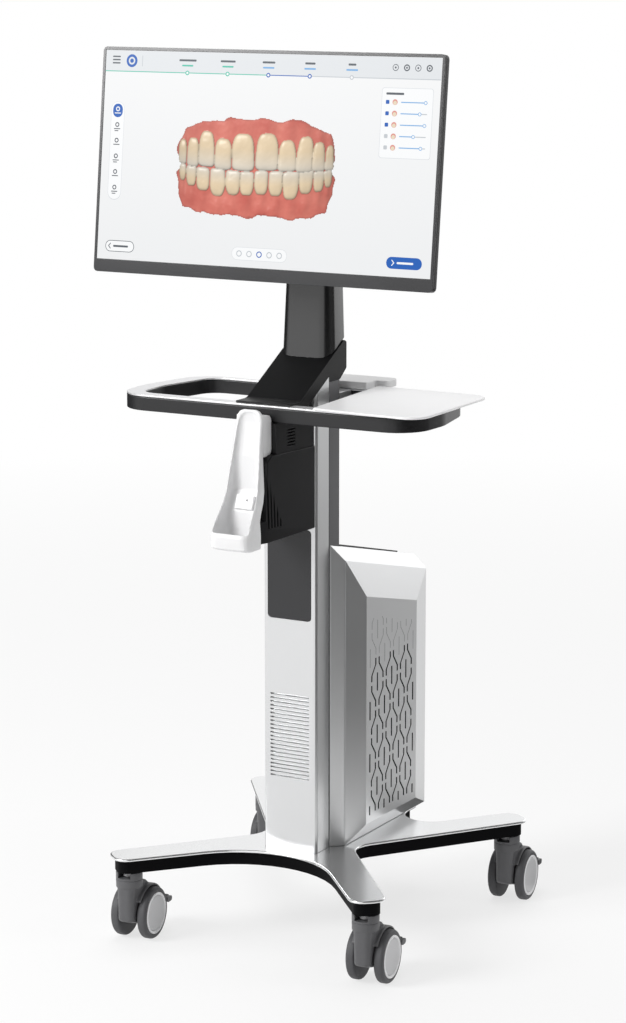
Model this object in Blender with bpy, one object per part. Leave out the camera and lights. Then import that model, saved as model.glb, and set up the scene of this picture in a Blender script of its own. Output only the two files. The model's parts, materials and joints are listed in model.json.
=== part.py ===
"""A mobile cart for an intraoral scanner.

A tilting monitor stands on a column with a handle ring, a tray and a scanner cradle. A computer housing hangs
behind the column, and four legs carry twin-wheel casters with brakes.

Metres, +Z up. The cart faces -Y, and its origin is on the floor, under the middle of its overall box.
"""

import math

import bmesh
import bpy
from mathutils import Matrix, Vector

MM = 0.001

# Edges and clearances
PLATE_EDGE = 1.0 * MM
GAP = 0.3 * MM
RUNNING_GAP = 0.5 * MM
WHEEL_GAP = 1.5 * MM
BORE_GAP = 0.3 * MM

# How far a facet may lie inside the arc that it stands for
ARC_DEPTH = 0.4 * MM

# How far a cutting tool reaches past the piece that it cuts
REACH = 100.0 * MM

# Where the middle of the base's plan lies, so that the origin is under the middle of the whole cart
BASE_MIDDLE_Y = -9.0 * MM

# Casters
FRONT_STEM_X = 195.0 * MM
FRONT_STEM_Y = -226.5 * MM
BACK_STEM_X = 209.0 * MM
BACK_STEM_Y = 201.5 * MM
CASTER_TURN = math.radians(5.5)
CASTER_TRAIL = 30.0 * MM
WHEEL_RADIUS = 38.3 * MM
WHEEL_WIDTH = 14.0 * MM
WHEEL_CORNER = 2.6 * MM
WHEEL_STEPS = 24
BORE_STEPS = 12
PIN_STEPS = 8
HINGE_STEPS = 16
AXLE_RADIUS = 4.0 * MM
CAP_RADIUS = 30.8 * MM
CAP_DEPTH = 3.0 * MM
CAP_RECESS = 2.4 * MM
CAP_RIM_RADIUS = 26.5 * MM
CAP_DISH = 0.8 * MM
FORK_WIDTH = 26.0 * MM
FORK_TOE_RADIUS = 24.0 * MM
FORK_TOE_CORNER = 16.0 * MM
FORK_HEEL_CORNER = 22.0 * MM
FORK_NECK_REACH = 18.0 * MM
FORK_KNEE_RISE = 14.0 * MM
FORK_KNEE_RADIUS = 20.0 * MM
COLLAR_RADIUS = 19.5 * MM
COLLAR_RISE = 32.0 * MM
COLLAR_HEIGHT = 24.0 * MM
COLLAR_NOTCH_WIDTH = 20.0 * MM
COLLAR_NOTCH_DEPTH = 8.0 * MM
GUARD_THICK = 3.2 * MM
GUARD_WIDTH = 53.0 * MM
GUARD_START = math.radians(38.0)
GUARD_END = math.radians(142.0)
GUARD_STEPS = 7
STEM_RADIUS = 5.5 * MM
STEM_REACH = 12.0 * MM
STEM_FLANGE_RADIUS = 9.0 * MM
STEM_FLANGE_HEIGHT = 7.0 * MM
PEDAL_PIVOT_Y = 49.0 * MM
PEDAL_PIVOT_RISE = 22.0 * MM
PEDAL_PIN_RADIUS = 2.4 * MM
PEDAL_EYE_RADIUS = 5.0 * MM
PEDAL_ARM_WIDTH = 12.0 * MM
PEDAL_WIDTH = 54.0 * MM
PEDAL_LENGTH = 15.0 * MM
PEDAL_THICK = 8.0 * MM
PEDAL_CORNER = 3.3 * MM
PEDAL_DROP = 15.0 * MM

# Base
BEARING_GAP = 1.2 * MM
SKIRT_HEIGHT = 19.7 * MM
SKIRT_WALL = 4.0 * MM
SKIRT_INSET = 7.0 * MM
COVER_THICK = 3.7 * MM
COVER_EDGE = 1.2 * MM
BOSS_RADIUS = 15.0 * MM
FRONT_LEG_ROOT = Vector((23.0, -26.0)) * MM
BACK_LEG_ROOT = Vector((38.0, -26.0)) * MM
LEG_ROOT_WIDTH = 61.0 * MM
LEG_TIP_WIDTH = 53.0 * MM
LEG_OVERHANG = 26.0 * MM
LEG_TIP_RADIUS = 20.0 * MM
FRONT_ARCH_RADIUS = 140.0 * MM
SIDE_ARCH_RADIUS = 40.0 * MM
LOBE_NOTCH_RADIUS = 40.0 * MM
LOBE_WIDTH = 116.0 * MM
LOBE_END_Y = 205.0 * MM
LOBE_CORNER = 14.0 * MM

# Column
COLUMN_WIDTH = 86.0 * MM
COLUMN_FRONT_Y = -96.7 * MM
FRONT_COVER_DEPTH = 5.0 * MM
FRONT_COVER_CORNER = 4.6 * MM
COLUMN_GROOVE = 1.2 * MM
COLUMN_GROOVE_DEPTH = 2.4 * MM
PROFILE_DEPTH = 33.0 * MM
PROFILE_WALL = 3.0 * MM
CHANNEL_DEPTH = 32.3 * MM
CHANNEL_WALL = 2.6 * MM
CHANNEL_CORNER = 2.0 * MM
AIR_SLOT_COUNT = 22
AIR_SLOT_PITCH = 5.8 * MM
AIR_SLOT_HEIGHT = 2.4 * MM
AIR_SLOT_WIDTH = 64.0 * MM
AIR_SLOT_RISE = 109.6 * MM
BADGE_WIDTH = 71.2 * MM
BADGE_RISE = 345.6 * MM
BADGE_THICK = 1.6 * MM
BADGE_SINK = 1.0 * MM
BADGE_CORNER = 5.0 * MM

# Handle ring
RING_RISE = 668.7 * MM
RING_HEIGHT = 22.8 * MM
TRIM_THICK = 2.2 * MM
RING_FRONT_Y = -180.2 * MM
RING_BACK_Y = 26.0 * MM
RING_BEND_Y = -90.0 * MM
RING_HALF_FRONT = 240.0 * MM
RING_HALF_BEND = 243.0 * MM
RING_HALF_BACK = 220.0 * MM
RING_FRONT_BAR = 23.2 * MM
RING_SIDE_BAR = 27.0 * MM
RING_BACK_BAR = 12.0 * MM
RING_CORNER = 50.0 * MM
RING_BEND_RADIUS = 80.0 * MM

# Tray on the ring's right half
TRAY_THICK = 3.4 * MM
TRAY_LEFT_X = 86.2 * MM
TRAY_WIDTH = 172.8 * MM
TRAY_FRONT_Y = -184.4 * MM
TRAY_FRONT_TURN = 13.2 * MM
TRAY_DEPTH = 222.1 * MM
TRAY_BACK_TURN = 5.7 * MM
TRAY_LEFT_LEAN = 15.4 * MM
TRAY_RIGHT_LEAN = 3.0 * MM
TRAY_CORNER = 30.0 * MM
TRAY_INNER_CORNER = 4.0 * MM

# Shelf and block behind the column
BLOCK_WIDTH = 82.0 * MM
BLOCK_HEIGHT = 30.0 * MM
SHELF_WIDTH = 172.0 * MM
SHELF_DEPTH = 61.0 * MM
SHELF_THICK = 10.8 * MM
SHELF_RELIEF_WIDTH = 20.0 * MM
SHELF_RELIEF = 2.0 * MM
SHELF_CORNER = 10.0 * MM

# Mast bracket and neck
SLOPE = math.radians(29.0)
SLOPE_START_Y = -145.0 * MM
SLOPE_START_RISE = 1.2 * MM
SLAB_DROP = 22.5 * MM
BRACKET_LIP = 15.0 * MM
BRACKET_LIP_THICK = 2.4 * MM
BRACKET_FILLET = 24.0 * MM
BRACKET_NOSE = 20.0 * MM
BRACKET_NOSE_THICK = 16.0 * MM
BRACKET_BACK_Y = -5.3 * MM
BRACKET_BACK_DROP = 41.0 * MM
BRACKET_CORNER = 3.0 * MM
BRACKET_HEEL_DROP = 26.0 * MM
BRACKET_RIDGE_DEPTH = 7.0 * MM
NECK_FOOT_WIDTH = 85.0 * MM
NECK_FOOT_FRONT_Y = -55.0 * MM
NECK_FOOT_CORNER = 19.0 * MM
NECK_TOP_WIDTH = 66.0 * MM
NECK_TOP_FRONT_Y = -43.0 * MM
NECK_TOP_BACK_Y = -2.5 * MM
NECK_TOP_CORNER = 14.0 * MM
NECK_BACK_CORNER = 5.0 * MM
NECK_ABOVE_HINGE = 24.0 * MM
NECK_STRAIGHT = 46.0 * MM

# Monitor and its hinge
MONITOR_WIDTH = 540.1 * MM
MONITOR_HEIGHT = 316.8 * MM
MONITOR_TILT = math.radians(6.37)
MONITOR_CENTRE_Y = -167.0 * MM
MONITOR_CENTRE_RISE = 999.6 * MM
MONITOR_CORNER = 6.0 * MM
BEZEL_THICK = 3.0 * MM
BEZEL_SIDE = 4.5 * MM
BEZEL_CHIN = 18.0 * MM
DISPLAY_RECESS = 0.4 * MM
SHELL_EDGE = 9.0 * MM
SHELL_SHOULDER = 14.4 * MM
SHELL_STEP = 12.0 * MM
SHELL_DEPTH = 39.7 * MM
SHELL_BACK_WIDTH = 370.0 * MM
SHELL_BACK_HEIGHT = 190.0 * MM
SHELL_BACK_SLOPE = 15.0 * MM
SHELL_BACK_CORNER = 20.0 * MM
HINGE_DISTANCE = 95.0 * MM
HINGE_PLATE_SIZE = 112.0 * MM
HINGE_PLATE_THICK = 4.0 * MM
HINGE_PLATE_CORNER = 6.0 * MM
HINGE_PIN_RADIUS = 5.0 * MM
HINGE_EYE_RADIUS = 13.0 * MM
HINGE_BLOCK_WIDTH = 30.0 * MM
HINGE_BLOCK_HEIGHT = 34.0 * MM
HINGE_EAR_THICK = 6.0 * MM
HINGE_PIN_HEAD = 8.0 * MM
HINGE_HEAD_THICK = 3.5 * MM

# Scanner cradle and its bracket
HOLDER_REAR_WIDTH = 84.0 * MM
HOLDER_WIDTH = 56.0 * MM
HOLDER_NOSE_WIDTH = 40.0 * MM
HOLDER_FLANK_Y = -205.0 * MM
HOLDER_FRONT_Y = -224.0 * MM
HOLDER_DROP = 166.6 * MM
HOLDER_LOWER_HEIGHT = 123.0 * MM
HOLDER_CHAMFER = 9.0 * MM
HOLDER_STEP = 2.0 * MM
HOLDER_POCKET_RISE = 32.0 * MM
HOLDER_POCKET_DEPTH = 15.8 * MM
HOLDER_SLOT_WIDTH = 3.2 * MM
HOLDER_SLOT_DEPTH = 3.0 * MM
HOLDER_SLOT_PITCH = 6.8 * MM
HOLDER_SLOT_TALLEST = 86.0 * MM
HOLDER_SLOT_STEP = 18.0 * MM
HOLDER_SLOT_LEAN = 4.5 * MM
HOLDER_SLOT_COUNT = 5
HOLDER_SLOT_RISE = 20.0 * MM
HOLDER_SLOT_BEND = 0.6
HOLDER_LOUVRE_COUNT = 6
HOLDER_LOUVRE_RISE = 8.0 * MM
HOLDER_LOUVRE_PITCH = 4.4 * MM
HOLDER_LOUVRE_HEIGHT = 1.9 * MM
HOLDER_LOUVRE_LENGTH = 18.0 * MM
HOLDER_LOUVRE_REACH = 61.0 * MM
CRADLE_HEAD_BACK_Y = -203.0 * MM
CRADLE_SOLE_DROP = 3.3 * MM
CRADLE_STEPS = {
    "sole": 0.0 * MM,
    "heel": 3.5 * MM,
    "toe": 17.0 * MM,
    "rim": 18.0 * MM,
    "bend": 11.0 * MM,
    "throat": 13.0 * MM,
    "shaft": 16.0 * MM,
    "neck": 47.0 * MM,
    "shoulder": 6.0 * MM,
    "head": 42.0 * MM,
    "crown": 9.0 * MM,
    "brow": 5.5 * MM,
    "peak": 2.5 * MM,
}
CRADLE_MOUNT_WIDTH = 43.2 * MM
CRADLE_MOUNT_DROP = 0.9 * MM
CRADLE_MOUNT_CORNER = 9.0 * MM
CRADLE_MOUNT_FRONT_Y = -206.5 * MM
CRADLE_RING_GAP = 4.0 * MM
CRADLE_WALL = 3.5 * MM
CRADLE_DOCK_WIDTH = 28.0 * MM
CRADLE_DOCK_THICK = 5.0 * MM
CRADLE_DOCK_EDGE = 0.8 * MM
CRADLE_DOCK_LOW = 0.08
CRADLE_DOCK_HIGH = 0.72
CRADLE_DOCK_HOLE = 1.6 * MM
CRADLE_DOCK_HOLE_X = 4.0 * MM
CRADLE_DOCK_HOLE_SHARE = 0.55

# Computer housing
HOUSING_HALF_WIDTH = 60.2 * MM
HOUSING_FRONT_Y = -54.5 * MM
HOUSING_SHOULDER_Y = -40.0 * MM
HOUSING_BACK_Y = 228.0 * MM
HOUSING_BACK_CORNER_Y = 216.0 * MM
HOUSING_BACK_CORNER = 14.4 * MM
HOUSING_RIDGE_HALF = 43.3 * MM
HOUSING_RIDGE_RISE = 451.3 * MM
HOUSING_SLOPE = 0.232
HOUSING_SHOULDER_DROP = 20.5 * MM
HOUSING_TAIL_Y = 209.0 * MM
HOUSING_TAIL_DROP = 28.0 * MM
HOUSING_WALL = 9.0 * MM
PANEL_RAISE = 9.6 * MM
PANEL_WALL = 2.0 * MM
PANEL_EDGE = 0.6 * MM
PANEL_INSET = 48.0 * MM
PANEL_TOP_INSET = 50.0 * MM
PANEL_LOW_INSET = 20.0 * MM
PANEL_RIM = 9.0 * MM
GRILLE_COLUMNS = 7
GRILLE_ROWS = 6
GRILLE_PITCH_Y = 22.8 * MM
GRILLE_PITCH_Z = 39.8 * MM
GRILLE_WAVE = 6.2 * MM
GRILLE_SLOT = 3.4 * MM
GRILLE_BRIDGE = 5.4 * MM
GRILLE_STRAIGHT = 12.0 * MM
GRILLE_CENTRE_SLOT = 28.0 * MM
GRILLE_MARGIN = 11.0 * MM
COMPUTER_HALF_WIDTH = 52.0 * MM
COMPUTER_DEPTH = 194.0 * MM
COMPUTER_HEIGHT = 310.0 * MM
VENT_LENGTH = 182.0 * MM
VENT_START_Y = -20.0 * MM
VENT_WIDTH = 80.0 * MM
VENT_THICK = 4.5 * MM
VENT_SINK = 2.5 * MM
VENT_SLOT_PITCH = 9.0 * MM
VENT_SLOT_WIDTH = 4.5 * MM
VENT_RIM = 5.0 * MM

# Heights that follow from the sizes above
COLLAR_TOP = 2 * WHEEL_RADIUS + COLLAR_RISE
BASE_BOTTOM = COLLAR_TOP + BEARING_GAP
BASE_TOP = BASE_BOTTOM + SKIRT_HEIGHT
DECK = BASE_TOP + GAP + COVER_THICK
RING_TOP = DECK + RING_RISE
RING_BOTTOM = RING_TOP - RING_HEIGHT
HOLDER_LOW = RING_RISE - RING_HEIGHT - HOLDER_DROP

# Depths that follow from the sizes above
PROFILE_FRONT_Y = COLUMN_FRONT_Y + FRONT_COVER_DEPTH + COLUMN_GROOVE
PROFILE_BACK_Y = PROFILE_FRONT_Y + PROFILE_DEPTH
CHANNEL_FRONT_Y = PROFILE_BACK_Y + GAP
CHANNEL_BACK_Y = CHANNEL_FRONT_Y + CHANNEL_DEPTH
RING_FRONT_INNER_Y = RING_FRONT_Y + RING_FRONT_BAR
RING_BACK_INNER_Y = RING_BACK_Y - RING_BACK_BAR


def clear_scene():
    """Removes whatever the file holds at the start."""
    for thing in list(bpy.data.objects):
        bpy.data.objects.remove(thing, do_unlink=True)


def material(name, colour, roughness, metallic=0.0):
    """A plain Principled material."""
    made = bpy.data.materials.new(name)
    made.use_nodes = True
    shader = made.node_tree.nodes["Principled BSDF"]
    shader.inputs["Base Color"].default_value = (*colour, 1.0)
    shader.inputs["Roughness"].default_value = roughness
    shader.inputs["Metallic"].default_value = metallic
    return made


def empty(name, parent, location, turn=(0.0, 0.0, 0.0)):
    """A frame that pieces hang on, placed on a joint's axis."""
    frame = bpy.data.objects.new(name, None)
    bpy.context.scene.collection.objects.link(frame)
    frame.parent = parent
    frame.location = location
    frame.rotation_euler = turn
    return frame


def shape_from(mesh_builder):
    """A loose object that holds a bmesh, merged, with its faces pointing out."""
    bmesh.ops.remove_doubles(mesh_builder, verts=mesh_builder.verts, dist=0.001 * MM)
    bmesh.ops.recalc_face_normals(mesh_builder, faces=mesh_builder.faces)
    mesh = bpy.data.meshes.new("shape")
    mesh_builder.to_mesh(mesh)
    mesh_builder.free()
    shape = bpy.data.objects.new("shape", mesh)
    bpy.context.scene.collection.objects.link(shape)
    return shape


def fillet(corners, steps=None):
    """A closed outline whose corners (a, b, radius) are rounded, finely or by the given number of steps."""
    outline = []
    for index, (a, b, radius) in enumerate(corners):
        here = Vector((a, b))
        if radius <= 0:
            outline.append(here)
            continue
        to_last = (Vector(corners[index - 1][:2]) - here).normalized()
        to_next = (Vector(corners[(index + 1) % len(corners)][:2]) - here).normalized()
        half = to_last.angle(to_next) / 2
        middle = here + (to_last + to_next).normalized() * radius / math.sin(half)
        reach = radius / math.tan(half)
        spoke = here + to_last * reach - middle
        end = here + to_next * reach - middle
        turn = math.atan2(spoke.x * end.y - spoke.y * end.x, spoke.dot(end))
        count = steps or max(2, math.ceil(abs(turn) * math.sqrt(radius / ARC_DEPTH / 8)))
        for step in range(count + 1):
            outline.append(middle + Matrix.Rotation(turn * step / count, 2) @ spoke)
    return outline


def rectangle(low_a, high_a, low_b, high_b, radius=0.0, steps=None):
    """A rectangle with equal round corners."""
    corners = [(low_a, low_b), (high_a, low_b), (high_a, high_b), (low_a, high_b)]
    return fillet([(a, b, radius) for a, b in corners], steps)


def circle(middle_a, middle_b, radius, steps=24):
    """A round outline with a point at its lowest place."""
    angles = [2 * math.pi * step / steps - math.pi / 2 for step in range(steps)]
    return [(middle_a + radius * math.cos(angle), middle_b + radius * math.sin(angle)) for angle in angles]


PLACES = {
    "X": lambda a, b, height: (height, a, b),
    "Y": lambda a, b, height: (a, height, b),
    "Z": lambda a, b, height: (a, b, height),
}


def add_prism(mesh_builder, outline, low, high, along):
    """Adds one straight solid to a bmesh."""
    place = PLACES[along]
    rings = [[mesh_builder.verts.new(place(a, b, height)) for a, b in outline] for height in (low, high)]
    mesh_builder.faces.new(rings[0])
    mesh_builder.faces.new(rings[1])
    for index in range(len(outline)):
        corners = (rings[0][index - 1], rings[0][index], rings[1][index], rings[1][index - 1])
        mesh_builder.faces.new(corners)


def prisms(outlines, low, high, along="Z"):
    """Straight solids that share their ends, as one shape."""
    mesh_builder = bmesh.new()
    for outline in outlines:
        add_prism(mesh_builder, outline, low, high, along)
    return shape_from(mesh_builder)


def prism(outline, low, high, along="Z"):
    """One straight solid between two heights along an axis."""
    return prisms([outline], low, high, along)


def loft(sections):
    """A solid skinned over sections, each a list of as many 3-D points as the first."""
    mesh_builder = bmesh.new()
    rings = [[mesh_builder.verts.new(point) for point in section] for section in sections]
    mesh_builder.faces.new(rings[0])
    mesh_builder.faces.new(rings[-1])
    for lower, upper in zip(rings, rings[1:]):
        for index in range(len(lower)):
            mesh_builder.faces.new((lower[index - 1], lower[index], upper[index], upper[index - 1]))
    return shape_from(mesh_builder)


def lathe(profile, steps, along="Z"):
    """A turned solid from a closed profile of (radius, height) points."""
    place = PLACES[along]
    mesh_builder = bmesh.new()
    rings = []
    for radius, height in profile:
        ring = [mesh_builder.verts.new(place(a, b, height)) for a, b in circle(0.0, 0.0, radius, steps)]
        rings.append(ring)
    for index, (radius, _) in enumerate(profile):
        if radius == 0 and profile[index - 1][0] == 0:
            continue
        last, here = rings[index - 1], rings[index]
        for step in range(steps):
            mesh_builder.faces.new((last[step - 1], last[step], here[step], here[step - 1]))
    return shape_from(mesh_builder)


def applied(shape):
    """The shape with its modifiers made part of its mesh."""
    graph = bpy.context.evaluated_depsgraph_get()
    mesh = bpy.data.meshes.new_from_object(shape.evaluated_get(graph))
    shape.modifiers.clear()
    shape.data = mesh
    return shape


def combined(shape, other, operation):
    """The shape after a Boolean with another one, which is used up."""
    step = shape.modifiers.new("combine", "BOOLEAN")
    step.operation = operation
    step.object = other
    applied(shape)
    bpy.data.objects.remove(other, do_unlink=True)
    return shape


def cut(shape, *tools):
    """The shape with each tool's volume taken away."""
    for tool in tools:
        combined(shape, tool, "DIFFERENCE")
    return shape


def joined(shape, *others):
    """The shape grown by each of the others."""
    for other in others:
        combined(shape, other, "UNION")
    return shape


def bevelled(shape, width, segments=1, angle=40.0):
    """The shape with its sharper edges broken."""
    step = shape.modifiers.new("edges", "BEVEL")
    step.width = width
    step.segments = segments
    step.limit_method = "ANGLE"
    step.angle_limit = math.radians(angle)
    return applied(shape)


def finished(shape, name, finish, parent):
    """Names a shape, gives it its material and hangs it on its frame."""
    shape.name = name
    shape.data.name = name
    shape.data.materials.clear()
    shape.data.materials.append(finish)
    shape.data.shade_smooth()
    shape.data.set_sharp_from_angle(angle=math.radians(32.0))
    shape.parent = parent
    return shape


def copy_of(piece, name, parent):
    """Another piece that shares a mesh."""
    copy = bpy.data.objects.new(name, piece.data)
    bpy.context.scene.collection.objects.link(copy)
    copy.parent = parent
    return copy


def crossing(point_a, way_a, point_b, way_b):
    """Where two lines in a plane meet."""
    scale = (point_b - point_a).cross(way_b) / way_a.cross(way_b)
    return point_a + way_a * scale


def leg_edges(root, stem, inset):
    """A leg's two edge lines and its tip's corners, each edge as (point, direction)."""
    way = (stem - root).normalized()
    side = Vector((-way.y, way.x))
    tip = stem + way * (LEG_OVERHANG - inset)
    edges = []
    corners = []
    for sign in (-1, 1):
        start = root + side * sign * (LEG_ROOT_WIDTH / 2 - inset)
        end = stem + side * sign * (LEG_TIP_WIDTH / 2 - inset)
        edges.append((start, (end - start).normalized()))
        corners.append(crossing(start, end - start, tip, side))
    return edges, corners


def base_outline(inset):
    """The plan of the legs and of the lobe under the housing, with every edge moved in by inset."""
    front_stem = Vector((FRONT_STEM_X, FRONT_STEM_Y))
    back_stem = Vector((BACK_STEM_X, BACK_STEM_Y))
    front_edges, front_corners = leg_edges(FRONT_LEG_ROOT, front_stem, inset)
    back_edges, back_corners = leg_edges(BACK_LEG_ROOT, back_stem, inset)
    up = Vector((0.0, 1.0))
    lobe_x = LOBE_WIDTH / 2 - inset
    arch = crossing(*front_edges[0], Vector((0.0, 0.0)), up)
    notch = crossing(*front_edges[1], *back_edges[0])
    lobe = crossing(*back_edges[1], Vector((lobe_x, 0.0)), up)
    tip_radius = LEG_TIP_RADIUS - inset
    right = [(*corner, tip_radius) for corner in front_corners]
    right.append((*notch, SIDE_ARCH_RADIUS + inset))
    right += [(*corner, tip_radius) for corner in back_corners]
    right.append((*lobe, LOBE_NOTCH_RADIUS + inset))
    right.append((lobe_x, LOBE_END_Y - inset, LOBE_CORNER))
    left = [(-x, y, radius) for x, y, radius in reversed(right)]
    front = (*arch, FRONT_ARCH_RADIUS + inset)
    return fillet([front] + right + left)


def caster_places():
    """The stems' places in plan, by name."""
    return {
        "front_left": (-FRONT_STEM_X, FRONT_STEM_Y),
        "front_right": (FRONT_STEM_X, FRONT_STEM_Y),
        "back_left": (-BACK_STEM_X, BACK_STEM_Y),
        "back_right": (BACK_STEM_X, BACK_STEM_Y),
    }


def make_base(cart, paints):
    """The cast leg frame, hollow below, and the cover plate on it."""
    frame = prism(base_outline(SKIRT_INSET), BASE_BOTTOM, BASE_TOP)
    pocket_inset = SKIRT_INSET + SKIRT_WALL
    pocket = prism(base_outline(pocket_inset), BASE_BOTTOM - SKIRT_WALL, BASE_TOP - SKIRT_WALL)
    places = caster_places().values()
    boss_top = BASE_TOP - SKIRT_WALL / 2
    bosses = prisms([circle(x, y, BOSS_RADIUS, 16) for x, y in places], BASE_BOTTOM, boss_top)
    bores = prisms(
        [circle(x, y, STEM_RADIUS + BORE_GAP, BORE_STEPS) for x, y in places],
        BASE_BOTTOM - SKIRT_WALL,
        BASE_BOTTOM + STEM_REACH + GAP,
    )
    cut(frame, pocket)
    joined(frame, bosses)
    cut(frame, bores)
    finished(frame, "base_frame", paints["black"], cart)
    levels = ((0.0, BASE_TOP + GAP), (0.0, DECK - COVER_EDGE), (COVER_EDGE, DECK))
    cover = loft([[(point.x, point.y, height) for point in base_outline(inset)] for inset, height in levels])
    finished(cover, "base_cover", paints["silver"], cart)


def make_stem():
    """The kingpin between the leg and the fork, with the flange it is tightened by."""
    flange_top = BASE_BOTTOM - GAP
    flange_low = flange_top - STEM_FLANGE_HEIGHT
    low = COLLAR_TOP - COLLAR_HEIGHT + GAP
    top = BASE_BOTTOM + STEM_REACH
    profile = [
        (0.0, low),
        (STEM_RADIUS, low),
        (STEM_RADIUS, flange_low),
        (STEM_FLANGE_RADIUS, flange_low),
        (STEM_FLANGE_RADIUS, flange_top),
        (STEM_RADIUS, flange_top),
        (STEM_RADIUS, top),
        (0.0, top),
    ]
    return lathe(profile, BORE_STEPS)


def make_fork():
    """The fork between the wheels, with its collar and the guard over both wheels."""
    axle_y, axle_z = CASTER_TRAIL, WHEEL_RADIUS
    shoulder_z = COLLAR_TOP - COLLAR_HEIGHT / 2
    heel_y = PEDAL_PIVOT_Y + PEDAL_EYE_RADIUS + RUNNING_GAP
    heel_z = axle_z + PEDAL_PIVOT_RISE + PEDAL_EYE_RADIUS
    toe_low = axle_z - FORK_TOE_RADIUS
    side = [
        (-FORK_NECK_REACH, shoulder_z, 0.0),
        (-FORK_NECK_REACH, axle_z + FORK_KNEE_RISE, FORK_KNEE_RADIUS),
        (axle_y - FORK_TOE_RADIUS, toe_low, FORK_TOE_CORNER),
        (axle_y + FORK_TOE_RADIUS, toe_low, FORK_HEEL_CORNER),
        (heel_y, heel_z, PEDAL_EYE_RADIUS / 2),
        (COLLAR_RADIUS, shoulder_z, 0.0),
    ]
    fork = prism(fillet(side, 3), -FORK_WIDTH / 2, FORK_WIDTH / 2, "X")
    guard_inner = WHEEL_RADIUS + WHEEL_GAP
    guard_outer = guard_inner + GUARD_THICK
    span = GUARD_END - GUARD_START
    angles = [GUARD_START + span * step / GUARD_STEPS for step in range(GUARD_STEPS + 1)]
    arc = [(guard_outer, angle) for angle in angles] + [(guard_inner, angle) for angle in reversed(angles)]
    band = [(axle_y + radius * math.cos(angle), axle_z + radius * math.sin(angle)) for radius, angle in arc]
    guard = prism(band, -GUARD_WIDTH / 2, GUARD_WIDTH / 2, "X")
    collar = prism(circle(0.0, 0.0, COLLAR_RADIUS, 20), COLLAR_TOP - COLLAR_HEIGHT, COLLAR_TOP)
    joined(fork, guard, collar)
    stem_bore_low = COLLAR_TOP - COLLAR_HEIGHT
    stem_bore = prism(circle(0.0, 0.0, STEM_RADIUS + BORE_GAP, BORE_STEPS), stem_bore_low, COLLAR_TOP + MM)
    flange_seat = prism(
        circle(0.0, 0.0, STEM_FLANGE_RADIUS + RUNNING_GAP, BORE_STEPS),
        COLLAR_TOP - COLLAR_NOTCH_DEPTH,
        COLLAR_TOP + MM,
    )
    notch_half = COLLAR_NOTCH_WIDTH / 2
    notch = prism(
        rectangle(-notch_half, notch_half, -2 * COLLAR_RADIUS, 0.0),
        COLLAR_TOP - COLLAR_NOTCH_DEPTH,
        COLLAR_TOP + MM,
    )
    axle_circle = circle(axle_y, axle_z, AXLE_RADIUS + BORE_GAP, BORE_STEPS)
    axle_bore = prism(axle_circle, -FORK_WIDTH, FORK_WIDTH, "X")
    pedal_z = axle_z + PEDAL_PIVOT_RISE
    reach = PEDAL_EYE_RADIUS + RUNNING_GAP
    slot_half = PEDAL_ARM_WIDTH / 2 + RUNNING_GAP
    slot_side = rectangle(
        PEDAL_PIVOT_Y - reach,
        PEDAL_PIVOT_Y + FORK_TOE_RADIUS,
        pedal_z - PEDAL_DROP - PEDAL_THICK,
        pedal_z + reach,
    )
    slot = prism(slot_side, -slot_half, slot_half, "X")
    pin_circle = circle(PEDAL_PIVOT_Y, pedal_z, PEDAL_PIN_RADIUS + BORE_GAP, PIN_STEPS)
    pin_bore = prism(pin_circle, -FORK_WIDTH, FORK_WIDTH, "X")
    return cut(fork, stem_bore, flange_seat, notch, axle_bore, slot, pin_bore)


def make_wheel(side):
    """A wheel with its tyre, about the axle's middle, on the side given by a sign."""
    inner = FORK_WIDTH / 2 + WHEEL_GAP
    outer = inner + WHEEL_WIDTH
    recess = outer - CAP_RECESS
    bore = AXLE_RADIUS + BORE_GAP
    profile = [
        (bore, inner),
        (WHEEL_RADIUS, inner),
        (WHEEL_RADIUS, outer - WHEEL_CORNER),
        (WHEEL_RADIUS - WHEEL_CORNER, outer),
        (CAP_RADIUS + GAP, outer),
        (CAP_RADIUS + GAP, recess),
        (bore, recess),
    ]
    return lathe([(radius, side * x) for radius, x in profile], WHEEL_STEPS, "X")


def make_cap(side):
    """The light disc that closes a wheel's outer face, with a raised rim."""
    seat = FORK_WIDTH / 2 + WHEEL_GAP + WHEEL_WIDTH - CAP_RECESS + GAP
    face = seat + CAP_DEPTH
    profile = [
        (0.0, seat),
        (CAP_RADIUS, seat),
        (CAP_RADIUS, face),
        (CAP_RIM_RADIUS, face),
        (CAP_RIM_RADIUS - CAP_DISH, face - CAP_DISH),
        (0.0, face - CAP_DISH),
    ]
    return lathe([(radius, side * x) for radius, x in profile], WHEEL_STEPS, "X")


def make_axle():
    """The pin that both wheels turn on."""
    half = FORK_WIDTH / 2 + WHEEL_GAP + WHEEL_WIDTH - CAP_RECESS
    return prism(circle(0.0, 0.0, AXLE_RADIUS, BORE_STEPS), -half, half, "X")


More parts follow.
